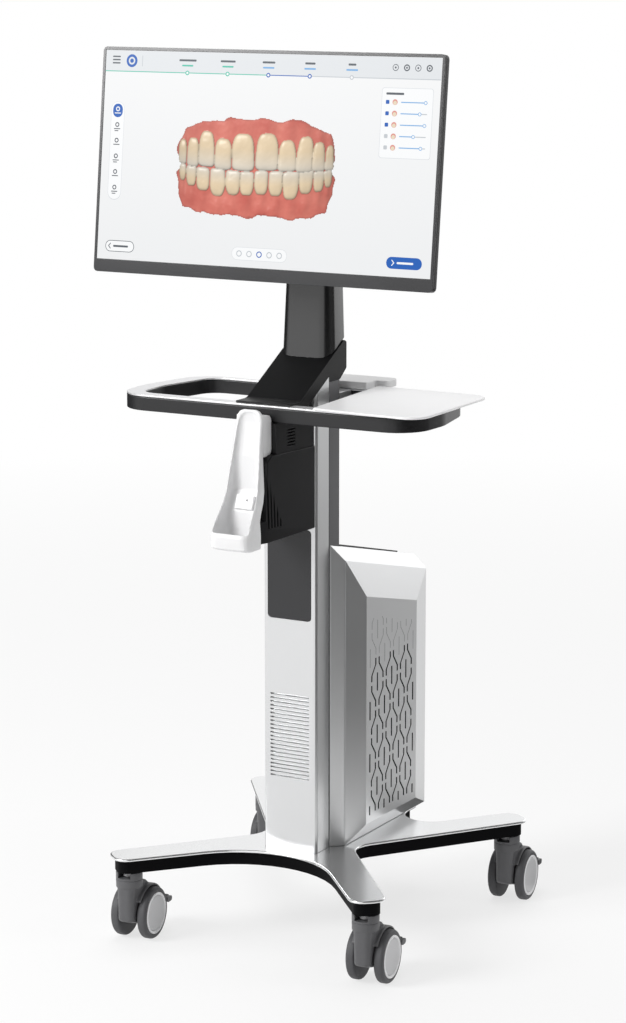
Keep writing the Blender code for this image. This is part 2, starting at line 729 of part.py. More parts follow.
def make_pedal():
    """The brake pedal, about its own pivot: an eye with pins, an arm and a broad pad behind the wheels."""
    wheel_back = CASTER_TRAIL + WHEEL_RADIUS - PEDAL_PIVOT_Y
    pad_start = wheel_back + WHEEL_GAP
    pad_low = -PEDAL_DROP - PEDAL_THICK / 2
    pad_top = pad_low + PEDAL_THICK
    arm_root = PEDAL_EYE_RADIUS - MM
    arm_end = pad_start + PEDAL_LENGTH / 4
    arm_side = [
        (0.0, -arm_root),
        (arm_end, pad_low + MM),
        (arm_end, pad_top - MM),
        (0.0, arm_root),
    ]
    half_arm = PEDAL_ARM_WIDTH / 2
    arm = prism(arm_side, -half_arm, half_arm, "X")
    eye = prism(circle(0.0, 0.0, PEDAL_EYE_RADIUS, BORE_STEPS), -half_arm, half_arm, "X")
    pad_outline = rectangle(pad_start, pad_start + PEDAL_LENGTH, pad_low, pad_top, PEDAL_CORNER, 2)
    pad = prism(pad_outline, -PEDAL_WIDTH / 2, PEDAL_WIDTH / 2, "X")
    pin_half = FORK_WIDTH / 2 - GAP
    pins = prism(circle(0.0, 0.0, PEDAL_PIN_RADIUS, PIN_STEPS), -pin_half, pin_half, "X")
    return joined(arm, eye, pad, pins)


def make_casters(cart, paints):
    """Four twin-wheel casters, alike, all swivelled the same way."""
    masters = {}

    def piece(kind, build, name, finish, parent):
        if kind in masters:
            return copy_of(masters[kind], name, parent)
        masters[kind] = finished(build(), name, finish, parent)
        return masters[kind]

    for place, (x, y) in caster_places().items():
        pivot = empty(f"{place}_swivel", cart, (x, y, 0.0), (0.0, 0.0, CASTER_TURN))
        axle = empty(f"{place}_axle_line", pivot, (0.0, CASTER_TRAIL, WHEEL_RADIUS))
        hinge_z = WHEEL_RADIUS + PEDAL_PIVOT_RISE
        hinge = empty(f"{place}_pedal_line", pivot, (0.0, PEDAL_PIVOT_Y, hinge_z))
        piece("stem", make_stem, f"{place}_stem", paints["steel"], pivot)
        piece("fork", make_fork, f"{place}_fork", paints["grey"], pivot)
        piece("axle", make_axle, f"{place}_axle", paints["steel"], axle)
        piece("pedal", make_pedal, f"{place}_pedal", paints["grey"], hinge)
        for hand, side in (("a", -1), ("b", 1)):
            piece(f"wheel_{hand}", lambda: make_wheel(side), f"{place}_wheel_{hand}", paints["tyre"], axle)
            piece(f"cap_{hand}", lambda: make_cap(side), f"{place}_cap_{hand}", paints["cap"], axle)


def slope_height(y):
    """The height of the mast bracket's sloping top at a place along the cart."""
    return RING_TOP + SLOPE_START_RISE + math.tan(SLOPE) * (y - SLOPE_START_Y)


def above_slab(drop):
    """A tool that takes away all that lies above the bracket's slope, lowered by drop."""
    front, back = COLUMN_FRONT_Y - REACH / 5, CHANNEL_BACK_Y + REACH / 5
    top = RING_TOP + 2 * REACH
    outline = [
        (front, slope_height(front) - drop),
        (back, slope_height(back) - drop),
        (back, top),
        (front, top),
    ]
    return prism(outline, -COLUMN_WIDTH, COLUMN_WIDTH, "X")


def make_column(cart, paints):
    """The silver tube, its slotted front cover, the dark cable channel behind it and the badge panel."""
    half = COLUMN_WIDTH / 2
    low = DECK + GAP
    high = RING_TOP + REACH
    tongue = half - COLUMN_GROOVE_DEPTH
    tongue_front = COLUMN_FRONT_Y + FRONT_COVER_DEPTH + GAP
    plan = [
        (-tongue, tongue_front),
        (tongue, tongue_front),
        (tongue, PROFILE_FRONT_Y),
        (half, PROFILE_FRONT_Y),
        (half, PROFILE_BACK_Y),
        (-half, PROFILE_BACK_Y),
        (-half, PROFILE_FRONT_Y),
        (-tongue, PROFILE_FRONT_Y),
    ]
    profile = prism(plan, low, high)
    inner = half - COLUMN_GROOVE_DEPTH - PROFILE_WALL
    core_plan = rectangle(-inner, inner, tongue_front + PROFILE_WALL, PROFILE_BACK_Y - PROFILE_WALL)
    cut(profile, prism(core_plan, low - MM, high + MM), above_slab(SLAB_DROP + GAP))
    finished(profile, "column_profile", paints["silver"], cart)

    front_plan = fillet(
        [
            (-half, COLUMN_FRONT_Y + FRONT_COVER_DEPTH, 0.0),
            (-half, COLUMN_FRONT_Y, FRONT_COVER_CORNER),
            (half, COLUMN_FRONT_Y, FRONT_COVER_CORNER),
            (half, COLUMN_FRONT_Y + FRONT_COVER_DEPTH, 0.0),
        ]
    )
    front = prism(front_plan, low, high)
    slot_low = DECK + AIR_SLOT_RISE
    slot_half = AIR_SLOT_WIDTH / 2
    slots = []
    for index in range(AIR_SLOT_COUNT):
        bottom = slot_low + index * AIR_SLOT_PITCH
        slots.append(rectangle(-slot_half, slot_half, bottom, bottom + AIR_SLOT_HEIGHT))
    slot_ends = (COLUMN_FRONT_Y - MM, COLUMN_FRONT_Y + FRONT_COVER_DEPTH + MM)
    badge_half = BADGE_WIDTH / 2
    badge_low = DECK + BADGE_RISE
    badge_top = DECK + HOLDER_LOW - GAP
    recess_outline = rectangle(
        -badge_half - GAP, badge_half + GAP, badge_low - GAP, badge_top + GAP, BADGE_CORNER
    )
    recess = prism(recess_outline, COLUMN_FRONT_Y - MM, COLUMN_FRONT_Y + BADGE_SINK + GAP, "Y")
    cut(front, prisms(slots, *slot_ends, "Y"), recess, above_slab(SLAB_DROP + GAP))
    finished(front, "column_front", paints["silver"], cart)

    badge_outline = rectangle(-badge_half, badge_half, badge_low, badge_top, BADGE_CORNER)
    badge_back = COLUMN_FRONT_Y + BADGE_SINK
    badge = prism(badge_outline, badge_back - BADGE_THICK, badge_back, "Y")
    finished(badge, "badge_panel", paints["gloss_black"], cart)

    channel_plan = rectangle(-half, half, CHANNEL_FRONT_Y, CHANNEL_BACK_Y, CHANNEL_CORNER, 2)
    channel = prism(channel_plan, low, bracket_heel())
    trough_half = half - CHANNEL_WALL
    trough_plan = rectangle(-trough_half, trough_half, CHANNEL_FRONT_Y - MM, CHANNEL_BACK_Y - CHANNEL_WALL)
    cut(channel, prism(trough_plan, low - MM, bracket_heel() + MM))
    finished(channel, "column_channel", paints["grey"], cart)


def bracket_heel():
    """The height at which the mast bracket's rear block sits on the cable channel."""
    return slope_height(CHANNEL_BACK_Y) - SLAB_DROP - BRACKET_HEEL_DROP


def make_bracket(cart, paints):
    """The sloping bracket that caps the column and reaches forward to the handle ring."""
    lip_top = RING_TOP + GAP + BRACKET_LIP_THICK
    slope_foot = SLOPE_START_Y + (lip_top - slope_height(SLOPE_START_Y)) / math.tan(SLOPE)
    ridge_y = BRACKET_BACK_Y - BRACKET_RIDGE_DEPTH
    ridge_z = slope_height(ridge_y)
    back_low = ridge_z - BRACKET_BACK_DROP
    heel = bracket_heel() + GAP
    seat_y = PROFILE_BACK_Y + GAP / 2
    nose_back = RING_FRONT_INNER_Y + GAP + BRACKET_NOSE_THICK
    nose_low = RING_TOP - BRACKET_NOSE
    side = [
        (RING_FRONT_INNER_Y - BRACKET_LIP, RING_TOP + GAP, 0.0),
        (RING_FRONT_INNER_Y - BRACKET_LIP, lip_top, MM),
        (slope_foot, lip_top, BRACKET_FILLET),
        (ridge_y, ridge_z, BRACKET_CORNER),
        (BRACKET_BACK_Y, ridge_z - BRACKET_CORNER, BRACKET_CORNER),
        (BRACKET_BACK_Y, back_low, BRACKET_CORNER),
        (CHANNEL_BACK_Y, heel, 0.0),
        (seat_y, heel, 0.0),
        (seat_y, slope_height(seat_y) - SLAB_DROP, 0.0),
        (nose_back, slope_height(nose_back) - SLAB_DROP, BRACKET_CORNER),
        (nose_back, nose_low, 0.0),
        (RING_FRONT_INNER_Y + GAP, nose_low, 0.0),
        (RING_FRONT_INNER_Y + GAP, RING_TOP + GAP, 0.0),
    ]
    half = COLUMN_WIDTH / 2
    bracket = prism(fillet(side, 3), -half, half, "X")
    finished(bracket, "mast_bracket", paints["black"], cart)


def hinge_place():
    """The tilt axis: behind the middle of the screen, along the screen's own depth."""
    back = Vector((0.0, math.cos(MONITOR_TILT), -math.sin(MONITOR_TILT)))
    return Vector((0.0, MONITOR_CENTRE_Y, DECK + MONITOR_CENTRE_RISE)) + back * HINGE_DISTANCE


def make_neck(cart, paints):
    """The neck, a loft that narrows upwards from the slope, and the block that holds the tilt pin."""
    hinge = hinge_place()
    foot_z = slope_height(NECK_FOOT_FRONT_Y) - REACH / 5
    knee_z = hinge.z - NECK_STRAIGHT / 2
    top_z = hinge.z + NECK_ABOVE_HINGE

    def section(height, width, front, back, corner):
        plan = [
            (-width / 2, back, NECK_BACK_CORNER),
            (-width / 2, front, corner),
            (width / 2, front, corner),
            (width / 2, back, NECK_BACK_CORNER),
        ]
        return [(point.x, point.y, height) for point in fillet(plan, 4)]

    top = (NECK_TOP_WIDTH, NECK_TOP_FRONT_Y, NECK_TOP_BACK_Y, NECK_TOP_CORNER)
    foot = (NECK_FOOT_WIDTH, NECK_FOOT_FRONT_Y, BRACKET_BACK_Y, NECK_FOOT_CORNER)
    neck = loft([section(foot_z, *foot), section(knee_z, *top), section(top_z, *top)])
    front, back = NECK_FOOT_FRONT_Y - REACH / 4, BRACKET_BACK_Y + REACH / 4
    low = RING_TOP - REACH
    under = [(front, low), (back, low), (back, slope_height(back) + GAP), (front, slope_height(front) + GAP)]
    cut(neck, prism(under, -COLUMN_WIDTH, COLUMN_WIDTH, "X"))
    finished(neck, "neck", paints["grey"], cart)

    face = NECK_TOP_FRONT_Y - GAP
    eye = HINGE_EYE_RADIUS
    half_height = HINGE_BLOCK_HEIGHT / 2
    block_side = [
        (face, hinge.z - half_height, 0.0),
        (hinge.y - eye, hinge.z - eye, eye - GAP),
        (hinge.y - eye, hinge.z + eye, eye - GAP),
        (face, hinge.z + half_height, 0.0),
    ]
    block = prism(fillet(block_side, 4), -HINGE_BLOCK_WIDTH / 2, HINGE_BLOCK_WIDTH / 2, "X")
    bore = circle(hinge.y, hinge.z, HINGE_PIN_RADIUS + BORE_GAP, HINGE_STEPS)
    cut(block, prism(bore, -HINGE_BLOCK_WIDTH, HINGE_BLOCK_WIDTH, "X"))
    finished(block, "tilt_block", paints["steel"], cart)


def make_monitor(cart, paints):
    """The monitor and the moving half of its hinge, about the tilt axis."""
    tilt = empty("tilt_line", cart, hinge_place(), (-MONITOR_TILT, 0.0, 0.0))
    half_w, half_h = MONITOR_WIDTH / 2, MONITOR_HEIGHT / 2
    face = -HINGE_DISTANCE
    bezel_back = face + BEZEL_THICK
    bezel = prism(rectangle(-half_w, half_w, -half_h, half_h, MONITOR_CORNER), face, bezel_back, "Y")
    window = (-half_w + BEZEL_SIDE, half_w - BEZEL_SIDE, -half_h + BEZEL_CHIN, half_h - BEZEL_SIDE)
    cut(bezel, prism(rectangle(*window), face - MM, bezel_back + MM, "Y"))
    finished(bezel, "monitor_bezel", paints["black"], tilt)

    left, right, low, high = window
    panel_outline = rectangle(left + GAP, right - GAP, low + GAP, high - GAP)
    panel = prism(panel_outline, face + DISPLAY_RECESS, bezel_back, "Y")
    finished(panel, "display_panel", paints["screen"], tilt)

    shell_front = bezel_back + GAP
    shell_back = shell_front + SHELL_DEPTH
    step = 2 * SHELL_STEP
    slope = 2 * SHELL_BACK_SLOPE
    spread = [
        (shell_front, MONITOR_WIDTH, MONITOR_HEIGHT, MONITOR_CORNER),
        (shell_front + SHELL_EDGE, MONITOR_WIDTH, MONITOR_HEIGHT, MONITOR_CORNER),
        (shell_front + SHELL_SHOULDER, MONITOR_WIDTH - step, MONITOR_HEIGHT - step, SHELL_STEP),
        (shell_back - SHELL_EDGE, SHELL_BACK_WIDTH + slope, SHELL_BACK_HEIGHT + slope, SHELL_BACK_CORNER),
        (shell_back, SHELL_BACK_WIDTH, SHELL_BACK_HEIGHT, SHELL_BACK_CORNER),
    ]
    sections = []
    for y, width, height, corner in spread:
        outline = rectangle(-width / 2, width / 2, -height / 2, height / 2, corner, 3)
        sections.append([(point.x, y, point.y) for point in outline])
    finished(loft(sections), "monitor_shell", paints["black"], tilt)

    plate_half = HINGE_PLATE_SIZE / 2
    plate_front = shell_back + GAP
    plate_back = plate_front + HINGE_PLATE_THICK
    plate_outline = rectangle(-plate_half, plate_half, -plate_half, plate_half, HINGE_PLATE_CORNER)
    plate = prism(plate_outline, plate_front, plate_back, "Y")
    eye = HINGE_EYE_RADIUS
    ear_root = eye + HINGE_EAR_THICK
    ear_side = [
        (plate_back - MM, -ear_root, 0.0),
        (plate_back - MM, ear_root, 0.0),
        (eye, eye, eye - GAP),
        (eye, -eye, eye - GAP),
    ]
    ear_near = HINGE_BLOCK_WIDTH / 2 + RUNNING_GAP
    ear_far = ear_near + HINGE_EAR_THICK
    ear_outline = fillet(ear_side, 4)
    ears = [prism(ear_outline, ear_near, ear_far, "X"), prism(ear_outline, -ear_far, -ear_near, "X")]
    joined(plate, *ears)
    bore = circle(0.0, 0.0, HINGE_PIN_RADIUS + BORE_GAP, HINGE_STEPS)
    cut(plate, prism(bore, -HINGE_PLATE_SIZE, HINGE_PLATE_SIZE, "X"))
    finished(plate, "tilt_plate", paints["steel"], tilt)

    head = ear_far + GAP
    end = head + HINGE_HEAD_THICK
    pin_profile = [
        (0.0, -end),
        (HINGE_PIN_HEAD, -end),
        (HINGE_PIN_HEAD, -head),
        (HINGE_PIN_RADIUS, -head),
        (HINGE_PIN_RADIUS, head),
        (HINGE_PIN_HEAD, head),
        (HINGE_PIN_HEAD, end),
        (0.0, end),
    ]
    finished(lathe(pin_profile, HINGE_STEPS, "X"), "tilt_pin", paints["steel"], tilt)


def ring_outline(front_bar, side_bar, back_bar):
    """The ring's plan, each side moved in by its bar's width."""
    corner = RING_CORNER - min(front_bar, side_bar)
    bend = RING_BEND_RADIUS - side_bar
    right = [
        (RING_HALF_FRONT - side_bar, RING_FRONT_Y + front_bar, corner),
        (RING_HALF_BEND - side_bar, RING_BEND_Y, bend),
        (RING_HALF_BACK - side_bar, RING_BACK_Y - back_bar, corner),
    ]
    left = [(-x, y, radius) for x, y, radius in reversed(right)]
    return fillet(right + left)


def make_ring(cart, paints):
    """The handle ring: a dark bar all round, with a pale trim strip let onto its top."""
    bars = (RING_FRONT_BAR, RING_SIDE_BAR, RING_BACK_BAR)
    trim_low = RING_TOP - TRIM_THICK
    for name, low, high, finish in (
        ("ring_frame", RING_BOTTOM, trim_low - GAP, paints["black"]),
        ("ring_trim", trim_low, RING_TOP, paints["silver"]),
    ):
        ring = prism(ring_outline(0.0, 0.0, 0.0), low, high)
        cut(ring, prism(ring_outline(*bars), low - MM, high + MM))
        finished(ring, name, finish, cart)


def tray_back():
    """The tray's rear edge at its left end."""
    return TRAY_FRONT_Y + TRAY_DEPTH


def make_tray(cart, paints):
    """The thin tray that lies across the ring's right half, with edges that aren't quite square."""
    low = RING_TOP + GAP
    right = TRAY_LEFT_X + TRAY_WIDTH
    corners = [
        (TRAY_LEFT_X, TRAY_FRONT_Y, TRAY_INNER_CORNER),
        (right, TRAY_FRONT_Y - TRAY_FRONT_TURN, TRAY_CORNER),
        (right - TRAY_RIGHT_LEAN, tray_back() - TRAY_BACK_TURN, TRAY_CORNER),
        (TRAY_LEFT_X - TRAY_LEFT_LEAN, tray_back(), TRAY_INNER_CORNER),
    ]
    tray = prism(fillet(corners), low, low + TRAY_THICK)
    bevelled(tray, PLATE_EDGE)
    finished(tray, "tray", paints["white"], cart)


def make_rear(cart, paints):
    """The block that ties the ring's rear bar to the column, and the shelf on both."""
    block_half = BLOCK_WIDTH / 2
    block_outline = rectangle(-block_half, block_half, CHANNEL_BACK_Y + GAP, RING_BACK_INNER_Y - GAP)
    block = prism(block_outline, RING_TOP - BLOCK_HEIGHT, RING_TOP)
    bevelled(block, PLATE_EDGE)
    finished(block, "rear_block", paints["silver"], cart)
    half = SHELF_WIDTH / 2
    low = RING_TOP + GAP
    front = RING_BACK_INNER_Y
    relief_y = tray_back() + SHELF_RELIEF
    corners = [
        (-half, front, SHELF_CORNER),
        (half - SHELF_RELIEF_WIDTH, front, SHELF_RELIEF),
        (half - SHELF_RELIEF_WIDTH, relief_y, SHELF_RELIEF),
        (half, relief_y, SHELF_CORNER / 2),
        (half, front + SHELF_DEPTH, SHELF_CORNER),
        (-half, front + SHELF_DEPTH, SHELF_CORNER),
    ]
    shelf = prism(fillet(corners), low, low + SHELF_THICK)
    bevelled(shelf, PLATE_EDGE)
    finished(shelf, "rear_shelf", paints["white"], cart)


def make_holder(cart, paints):
    """The dark bracket on the column that carries the scanner cradle, slotted on both flanks."""
    back = COLUMN_FRONT_Y - GAP
    low = DECK + HOLDER_LOW
    ledge = low + HOLDER_LOWER_HEIGHT
    top = RING_BOTTOM - GAP
    half = HOLDER_WIDTH / 2
    rear_half = HOLDER_REAR_WIDTH / 2
    nose_half = HOLDER_NOSE_WIDTH / 2
    pocket_back = HOLDER_FRONT_Y + HOLDER_POCKET_DEPTH
    lower_side = [
        (back, low + HOLDER_CHAMFER / 2),
        (HOLDER_FRONT_Y, low),
        (HOLDER_FRONT_Y, low + HOLDER_POCKET_RISE),
        (pocket_back, low + HOLDER_POCKET_RISE),
        (pocket_back, ledge - HOLDER_CHAMFER),
        (HOLDER_FLANK_Y + HOLDER_CHAMFER, ledge),
        (back, ledge),
    ]
    holder = prism(lower_side, -rear_half, rear_half, "X")
    for side in (-1, 1):
        outside = [
            (side * rear_half, COLUMN_FRONT_Y),
            (side * half, HOLDER_FLANK_Y),
            (side * nose_half, HOLDER_FRONT_Y - GAP),
            (side * 2 * rear_half, HOLDER_FRONT_Y - GAP),
            (side * 2 * rear_half, COLUMN_FRONT_Y),
        ]
        cut(holder, prism(outside, low - MM, ledge + MM))
    bevelled(holder, PLATE_EDGE)
    upper_front = mount_back() + GAP
    share = (upper_front - COLUMN_FRONT_Y) / (HOLDER_FLANK_Y - COLUMN_FRONT_Y)
    upper_rear_half = rear_half - HOLDER_STEP
    upper_half = rear_half + (half - rear_half) * share - HOLDER_STEP
    upper_plan = [
        (-upper_rear_half, back),
        (-upper_half, upper_front),
        (upper_half, upper_front),
        (upper_rear_half, back),
    ]
    joined(holder, prism(upper_plan, ledge - HOLDER_CHAMFER / 2, top))

    mount_half = CRADLE_MOUNT_WIDTH / 2 + GAP
    mount_pocket = prism(
        rectangle(-mount_half, mount_half, HOLDER_FRONT_Y - MM, mount_back() + GAP),
        mount_low() - GAP,
        ledge + MM,
    )
    cut(holder, mount_pocket)

    slots = []
    bottom = low + HOLDER_SLOT_RISE
    for index in range(HOLDER_SLOT_COUNT):
        front = HOLDER_FLANK_Y + index * HOLDER_SLOT_PITCH
        height = HOLDER_SLOT_TALLEST - index * HOLDER_SLOT_STEP
        lean = HOLDER_SLOT_LEAN * height / HOLDER_SLOT_TALLEST
        back_edge = front + HOLDER_SLOT_WIDTH
        bend = bottom + height * HOLDER_SLOT_BEND
        slots.append(
            [
                (front, bottom),
                (back_edge, bottom),
                (back_edge - lean / 2, bend),
                (front + HOLDER_SLOT_WIDTH / 2 - lean, bottom + height),
                (front - lean / 2, bend),
            ]
        )
    louvres = []
    start = back - HOLDER_LOUVRE_REACH
    for index in range(HOLDER_LOUVRE_COUNT):
        bottom = ledge + HOLDER_LOUVRE_RISE + index * HOLDER_LOUVRE_PITCH
        louvres.append(rectangle(start, start + HOLDER_LOUVRE_LENGTH, bottom, bottom + HOLDER_LOUVRE_HEIGHT))
    for side in (-1, 1):
        for outlines, floor in ((slots, half - HOLDER_SLOT_DEPTH), (louvres, upper_half)):
            ends = sorted((side * floor, side * rear_half))
            cut(holder, prisms(outlines, *ends, "X"))
    finished(holder, "cradle_bracket", paints["black"], cart)


def cradle_back():
    """The back of the cradle's trough where it sits in the bracket's pocket."""
    return HOLDER_FRONT_Y + HOLDER_POCKET_DEPTH - GAP


def mount_back():
    """The back of the cradle's upper mount, just in front of the ring."""
    return RING_FRONT_Y - CRADLE_RING_GAP


def cradle_height(name):
    """The height of one level of the cradle, each of which is a step above the level below it."""
    levels = list(CRADLE_STEPS)
    passed = levels[: levels.index(name) + 1]
    return DECK + HOLDER_LOW - CRADLE_SOLE_DROP + sum(CRADLE_STEPS[step] for step in passed)


def mount_low():
    """The underside of the cradle's upper mount."""
    return cradle_height("neck") - CRADLE_MOUNT_DROP


def level(name, lift=0.0, *, front, back, half, corner, hollow=None):
    """One level section of the cradle, as 3-D points: lift, front, half and radii in mm, back in metres."""
    height = cradle_height(name) + lift * MM
    back_corner = (hollow or corner) * MM
    plan = [
        (-half * MM, back, back_corner),
        (-half * MM, front * MM, corner * MM),
        (half * MM, front * MM, corner * MM),
        (half * MM, back, back_corner),
    ]
    return [(point.x, point.y, height) for point in fillet(plan, 4)]


def make_cradle(cart, paints):
    """The scanner cradle: a leaning trough that deepens to a scoop, with a mount behind its top."""
    back = cradle_back()
    wall = back - CRADLE_WALL
    outer_back = HOLDER_FRONT_Y - GAP
    head_back = CRADLE_HEAD_BACK_Y
    outer = [
        level("sole", front=-262.0, back=outer_back, half=30.0, corner=8.0),
        level("heel", front=-268.0, back=outer_back, half=32.3, corner=12.0),
        level("toe", front=-270.5, back=outer_back, half=32.8, corner=13.0),
        level("rim", front=-260.0, back=outer_back, half=31.0, corner=12.0),
        level("bend", front=-250.0, back=outer_back + 3.0 * MM, half=29.8, corner=9.0),
        level("throat", front=-240.0, back=back - 5.0 * MM, half=28.4, corner=8.0),
        level("shaft", front=-232.0, back=back, half=26.8, corner=7.0),
        level("neck", front=-220.5, back=back, half=24.0, corner=5.0),
        level("shoulder", front=-219.5, back=back, half=23.6, corner=5.0),
        level("head", front=-210.5, back=head_back, half=21.6, corner=3.5),
        level("crown", front=-209.3, back=head_back, half=20.0, corner=2.8),
        level("brow", front=-208.4, back=head_back, half=16.0, corner=2.4),
        level("peak", front=-207.6, back=head_back - 0.6 * MM, half=10.0, corner=1.6),
    ]
    cradle = loft(outer)
    far = -300.0
    floor_back = outer_back - 4.0 * MM
    inner = [
        level("heel", 2.0, front=-264.0, back=floor_back - MM, half=26.0, corner=9.0, hollow=11.0),
        level("toe", 5.0, front=-267.0, back=floor_back, half=28.6, corner=10.0, hollow=13.0),
        level("toe", 6.0, front=far, back=floor_back, half=28.6, corner=10.0, hollow=13.0),
        level("bend", front=far, back=outer_back - 0.5 * MM, half=26.2, corner=9.0, hollow=12.0),
        level("shaft", front=far, back=wall, half=23.8, corner=9.0, hollow=11.0),
        level("neck", front=far, back=wall, half=21.2, corner=9.0, hollow=11.0),
        level("head", front=far, back=head_back - 2.5 * MM, half=18.6, corner=9.0, hollow=11.0),
        level("crown", front=far, back=head_back - 3.0 * MM, half=16.0, corner=9.0, hollow=10.0),
        level("crown", 4.5, front=far, back=head_back - 3.8 * MM, half=9.0, corner=6.0, hollow=7.0),
    ]
    trough = loft(inner)
    mount_half = CRADLE_MOUNT_WIDTH / 2
    mount_front = CRADLE_MOUNT_FRONT_Y
    mount_side = [
        (mount_front, mount_low(), 0.0),
        (mount_back(), mount_low(), CRADLE_MOUNT_CORNER),
        (mount_back(), cradle_height("crown"), CRADLE_MOUNT_CORNER),
        (mount_front, cradle_height("crown"), 0.0),
    ]
    mount = prism(fillet(mount_side), -mount_half, mount_half, "X")
    joined(cradle, mount)
    cut(cradle, trough)
    finished(cradle, "cradle_shell", paints["white"], cart)

    wall_low = (outer_back - 0.5 * MM, cradle_height("bend"))
    wall_high = (wall, cradle_height("shaft"))

    def on_wall(share, lift):
        point = Vector(wall_low).lerp(Vector(wall_high), share)
        along = (Vector(wall_high) - Vector(wall_low)).normalized()
        return point + Vector((-along.y, along.x)) * lift

    outline = [
        on_wall(CRADLE_DOCK_LOW, GAP),
        on_wall(CRADLE_DOCK_HIGH, GAP),
        on_wall(CRADLE_DOCK_HIGH, CRADLE_DOCK_THICK),
        on_wall(CRADLE_DOCK_LOW, CRADLE_DOCK_THICK - PLATE_EDGE),
    ]
    dock_half = CRADLE_DOCK_WIDTH / 2
    dock = prism(outline, -dock_half, dock_half, "X")
    bevelled(dock, CRADLE_DOCK_EDGE)
    hole_z = on_wall(CRADLE_DOCK_HOLE_SHARE, 0.0).y
    hole_end = on_wall(CRADLE_DOCK_HOLE_SHARE, CRADLE_DOCK_THICK / 2).x
    hole_outline = circle(CRADLE_DOCK_HOLE_X, hole_z, CRADLE_DOCK_HOLE, BORE_STEPS)
    hole = prism(hole_outline, HOLDER_FRONT_Y - REACH, hole_end, "Y")
    cut(dock, hole)
    finished(dock, "cradle_dock", paints["white"], cart)


def housing_top(y, half_width):
    """The height of the housing's roof: a ridge that falls to the rear, with shoulders that fall outwards."""
    ridge = DECK + HOUSING_RIDGE_RISE - HOUSING_SLOPE * (y - HOUSING_FRONT_Y)
    share = max(0.0, (half_width - HOUSING_RIDGE_HALF) / (HOUSING_HALF_WIDTH - HOUSING_RIDGE_HALF))
    return ridge - share * HOUSING_SHOULDER_DROP


def make_housing_body(cart, paints):
    """The housing's main shell, open at both flanks: chamfered plan, sloping roof, a recess for the vent."""
    low = DECK + GAP
    high = DECK + HOUSING_RIDGE_RISE + REACH
    half = HOUSING_HALF_WIDTH
    ridge = HOUSING_RIDGE_HALF
    channel_y = CHANNEL_BACK_Y + GAP
    back_half = half - HOUSING_BACK_CORNER
    right = [
        (back_half, HOUSING_BACK_Y),
        (half, HOUSING_BACK_CORNER_Y),
        (half, HOUSING_SHOULDER_Y),
        (ridge, HOUSING_FRONT_Y),
        (ridge, channel_y),
    ]
    plan = right + [(-x, y) for x, y in reversed(right)]
    body = prism(plan, low, high)

    front, back = HOUSING_FRONT_Y - REACH, HOUSING_BACK_Y + REACH
    sky = high + REACH
    roof = [(front, housing_top(front, 0.0)), (back, housing_top(back, 0.0)), (back, sky), (front, sky)]
    tail_start = housing_top(HOUSING_TAIL_Y, 0.0)
    tail_end = housing_top(HOUSING_BACK_Y, 0.0) - HOUSING_TAIL_DROP
    tail = [
        (HOUSING_TAIL_Y, tail_start),
        (HOUSING_BACK_Y, tail_end),
        (back, tail_end - REACH),
        (back, sky),
        (HOUSING_TAIL_Y, sky),
    ]
    cut(body, prism(roof, -REACH, REACH, "X"), prism(tail, -REACH, REACH, "X"))
    far = half + REACH
    for side in (-1, 1):
        wedge = loft(
            [
                [
                    (side * ridge, y, housing_top(y, ridge)),
                    (side * far, y, housing_top(y, far)),
                    (side * far, y, sky),
                    (side * ridge, y, sky),
                ]
                for y in (front, back)
            ]
        )
        cut(body, wedge)

    inner_low = low + HOUSING_WALL
    inner_front = channel_y + HOUSING_WALL
    inner_back = HOUSING_BACK_CORNER_Y - HOUSING_WALL
    cavity = [
        (inner_front, inner_low),
        (inner_back, inner_low),
        (inner_back, housing_top(inner_back, half) - 2 * HOUSING_WALL),
        (inner_front, housing_top(inner_front, half) - 2 * HOUSING_WALL),
    ]
    cut(body, prism(cavity, -REACH, REACH, "X"), roof_slab(GAP, -VENT_SINK - GAP, REACH))
    finished(body, "housing_body", paints["silver"], cart)

    unit_low = inner_low + GAP
    unit_front = inner_front + GAP
    unit = prism(
        rectangle(unit_front, unit_front + COMPUTER_DEPTH, unit_low, unit_low + COMPUTER_HEIGHT),
        -COMPUTER_HALF_WIDTH,
        COMPUTER_HALF_WIDTH,
        "X",
    )
    bevelled(unit, 2 * PLATE_EDGE)
    finished(unit, "computer_unit", paints["grey"], cart)


def roof_slab(margin, low, high):
    """A flat slab over the housing's roof, from low to high above it, wider than the vent by margin."""
    half = VENT_WIDTH / 2 + margin
    sections = []
    for y in (VENT_START_Y - margin, VENT_START_Y + VENT_LENGTH + margin):
        roof = housing_top(y, 0.0)
        sections.append([(x, y, z) for x, z in rectangle(-half, half, roof + low, roof + high)])
    return loft(sections)


def make_top_vent(cart, paints):
    """The slotted black vent let into the housing's roof."""
    vent = roof_slab(0.0, -VENT_SINK, VENT_THICK - VENT_SINK)
    count = int((VENT_LENGTH - 2 * VENT_RIM) / VENT_SLOT_PITCH)
    slot_half = VENT_WIDTH / 2 - VENT_RIM
    middle = DECK + HOUSING_RIDGE_RISE
    outlines = []
    for index in range(count):
        front = VENT_START_Y + VENT_RIM + VENT_SLOT_WIDTH / 2 + index * VENT_SLOT_PITCH
        outlines.append(rectangle(-slot_half, slot_half, front, front + VENT_SLOT_WIDTH))
    cut(vent, prisms(outlines, middle - REACH, middle + REACH))
    finished(vent, "top_vent", paints["black"], cart)


def flank_outline(inset, top_inset, low_inset):
    """The flank's outline, as (y, z) corners, moved in from the shell's edges."""
    front = HOUSING_SHOULDER_Y + inset
    back = HOUSING_BACK_CORNER_Y - inset
    low = DECK + MM + low_inset
    return [
        (front, low),
        (back, low),
        (back, housing_top(back, HOUSING_HALF_WIDTH) - top_inset),
        (front, housing_top(front, HOUSING_HALF_WIDTH) - top_inset),
    ]


